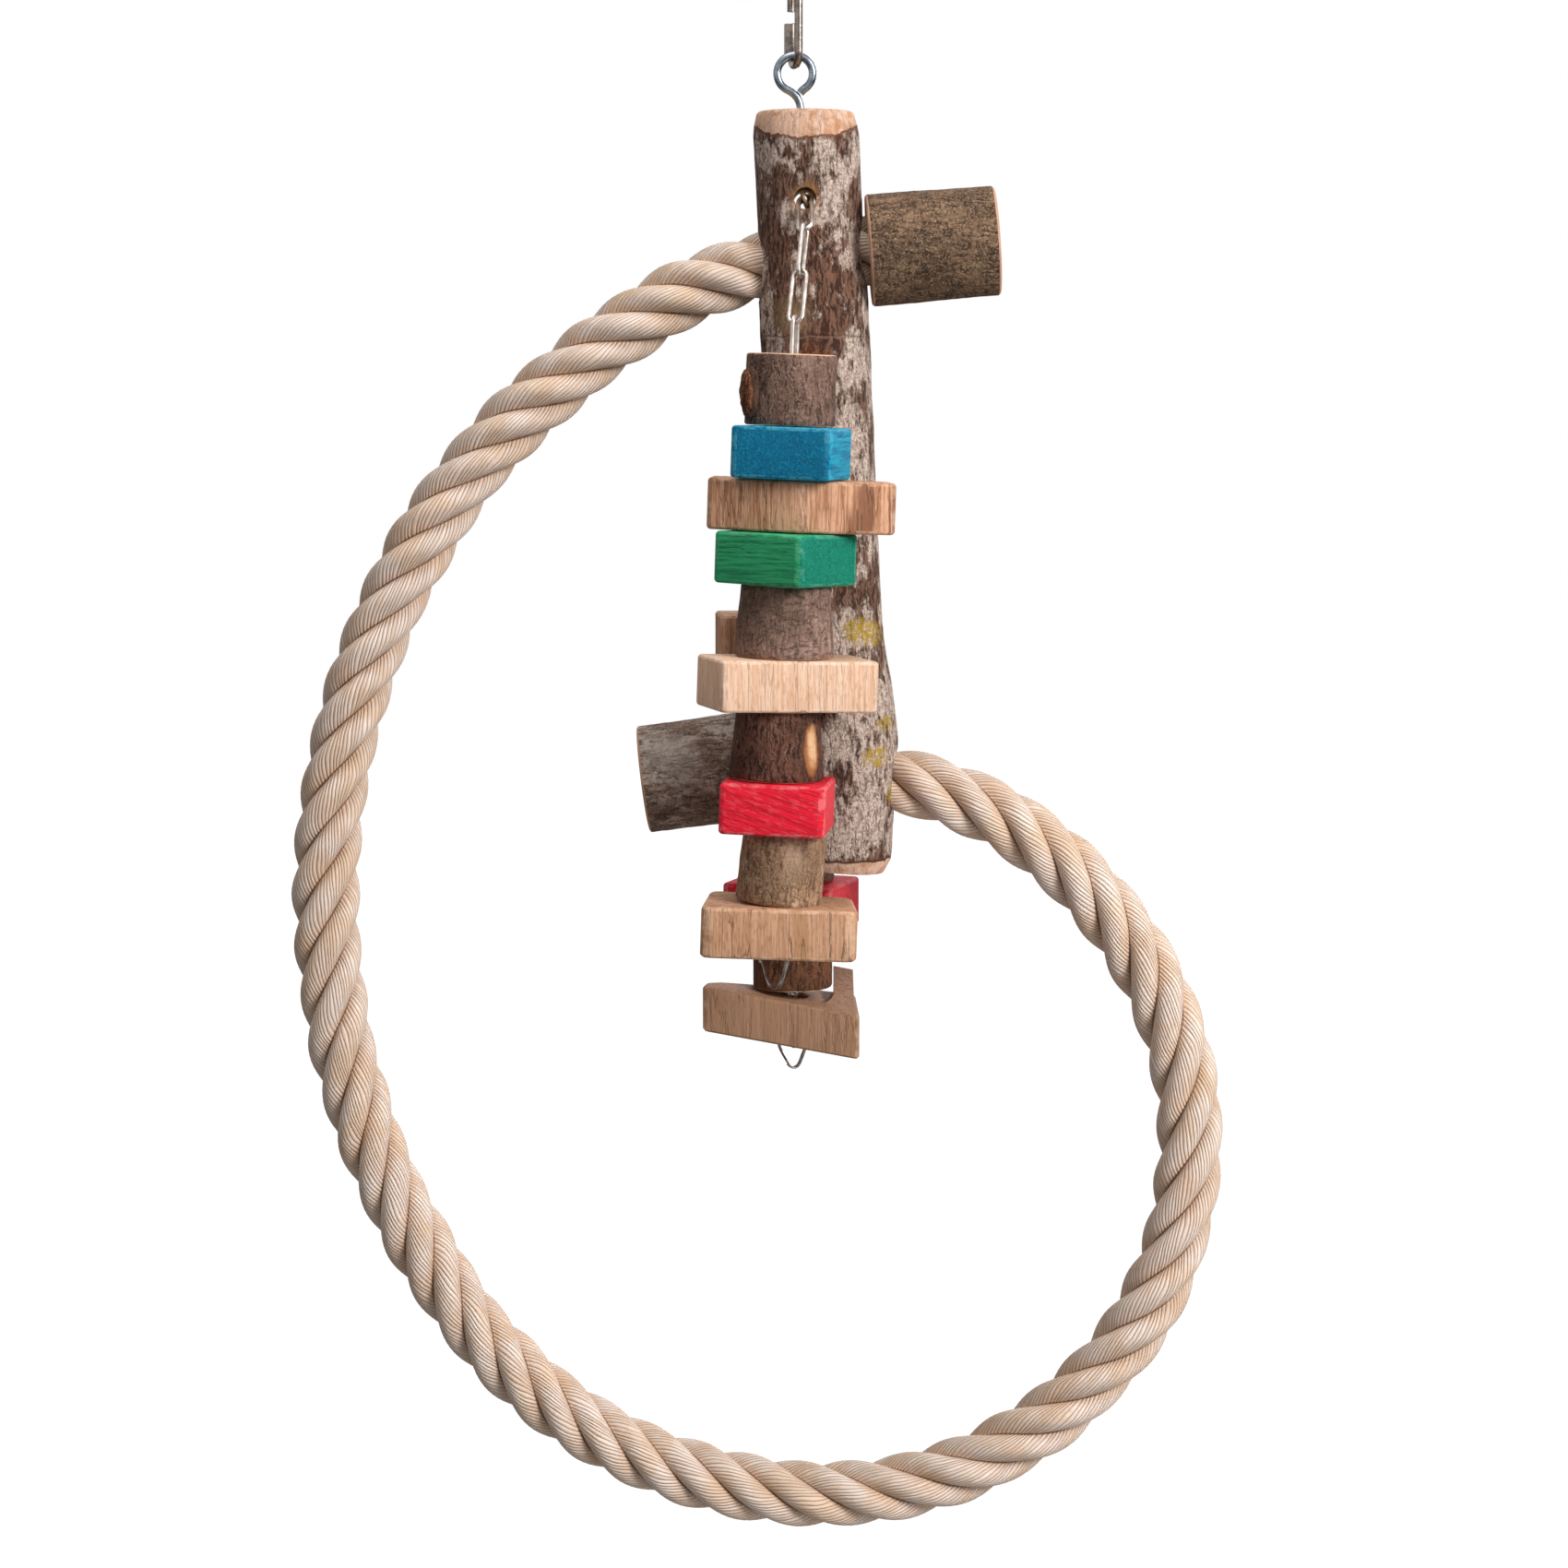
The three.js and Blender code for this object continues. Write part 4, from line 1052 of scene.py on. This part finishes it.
for node, values, grain, slot in (
    ("front_blue_block", blue_stain, (0.223, 0.975, 0), "blue_stain"),
    ("front_natural_block", heartwood, upright, "heartwood"),
    ("front_green_block", green_stain, (0.832, -0.555, 0), "green_stain"),
    ("front_beech_block", beech, upright, "beech"),
    ("front_red_block", red_stain, (0.93, -0.11, -0.34), "red_stain"),
    ("front_bottom_block", cracked, upright, "beech"),
    ("back_green_block", green_stain, (0.993, 0.122, 0), "green_stain"),
    ("back_natural_block", heartwood, upright, "heartwood"),
    ("back_beech_block", beech, upright, "beech"),
    ("back_blue_block", blue_stain, (0.139, 0.99, 0), "blue_stain"),
    ("back_red_block", red_stain, (0.94, -0.342, 0), "red_stain"),
):
    soften_block(node, block_wood(node + "_wood", grain=grain, **values), grain)

# On the half-round block a ramp fills the step beside the raised part of its top. It climbs to the back round
# the slice above it, with a hollow that clears the slice.
ramp_left, ramp_right, ramp_front, string_x, string_y = 6, 19.3, 31.5, -0.7, 48.5
climb, foot_climb, foot_depth, fall = 0.357, 0.035, 3, 0.1908
known_x, known_y, known_z = 18.1, 32.74, -448.19
pick()
bpy.ops.mesh.primitive_cube_add(size=2)
ramp = bpy.context.object
for vertex in ramp.data.vertices:
    x = ramp_right if vertex.co.x > 0 else ramp_left
    y = string_y if vertex.co.y > 0 else ramp_front
    steepness, below = (climb, 0) if vertex.co.z > 0 else (foot_climb, foot_depth)
    z = known_z + steepness * (y - known_y) - fall * (x - known_x) - below
    vertex.co = at(x, y, z)
hollow_bottom, hollow_top = (at(string_x, string_y, z) for z in (-460, -430))
drill(ramp, hollow_bottom, hollow_top, 18.8 * mm, 64)
half_round_wood = block_wood("half_round_wood", grain=upright, **half_round)
soften_block("back_half_round_block", half_round_wood, upright, 1.3, ramp)


# Studio: a plain pale floor well below the hanging piece, a white surround and five soft lamps.
def seen(rays):
    """1 where the camera looks at it, also through clear things, and 0 for its light on the object."""
    return sum_up("MAXIMUM", rays["Is Camera Ray"], rays["Is Transmission Ray"])


middle = Vector((0, 0, -0.34))
for name, place, size, power in (
    ("key_lamp", (1.35, -1.25, 0.5), 0.9, 40), ("fill_lamp", (-1.5, -1.3, 0.2), 1.2, 2),
    ("low_lamp", (0.7, -0.6, -0.72), 0.6, 1.5), ("back_lamp", (0.4, 1.7, 0.3), 1.2, 13),
    ("top_lamp", (-0.2, -0.4, 1.3), 1.1, 16),
):
    lamp = bpy.data.lights.new(name, "AREA")
    lamp.shape = "DISK"
    lamp.size = size
    lamp.energy = power
    placed = new_object(name, lamp)
    placed.location = place
    placed.rotation_euler = (Vector(place) - middle).to_track_quat("Z", "Y").to_euler()
world = bpy.data.worlds.new("white_surround")
bpy.context.scene.world = world
world.use_nodes = True
tree = world.node_tree
seen_strength, mirrored_strength, light_strength = 0.82, 0.6, 0.18
rays = tree.nodes.new("ShaderNodeLightPath").outputs
strength = scaled(rays["Is Glossy Ray"], mirrored_strength, light_strength)
strength = scaled(seen(rays), seen_strength, strength)
background = tree.nodes["Background"]
background.inputs["Color"].default_value = (1, 1, 1, 1)
feed(background.inputs["Strength"], strength)
pick()
bpy.ops.mesh.primitive_circle_add(vertices=96, radius=9, fill_type="NGON", location=(0, 0, -1.25))
floor = bpy.context.object
floor.name = "floor"
floor_finish = bpy.data.materials.new("pale_floor")
floor_finish.use_nodes = True
tree = floor_finish.node_tree
shader = tree.nodes["Principled BSDF"]
shader.inputs["Base Color"].default_value = (0.35, 0.35, 0.35, 1)
shader.inputs["Roughness"].default_value = 0.9
glow = put(tree, "ShaderNodeEmission", Color=(1, 1, 1, 1), Strength=1.2).outputs["Emission"]
rays = tree.nodes.new("ShaderNodeLightPath").outputs
blend = tree.nodes.new("ShaderNodeMixShader")
glow_share = scaled(seen(rays), 0.9)
for socket, value in zip(blend.inputs, (glow_share, shader.outputs["BSDF"], glow)):
    feed(socket, value)
feed(tree.nodes["Material Output"].inputs["Surface"], blend.outputs["Shader"])
floor.data.materials.append(floor_finish)
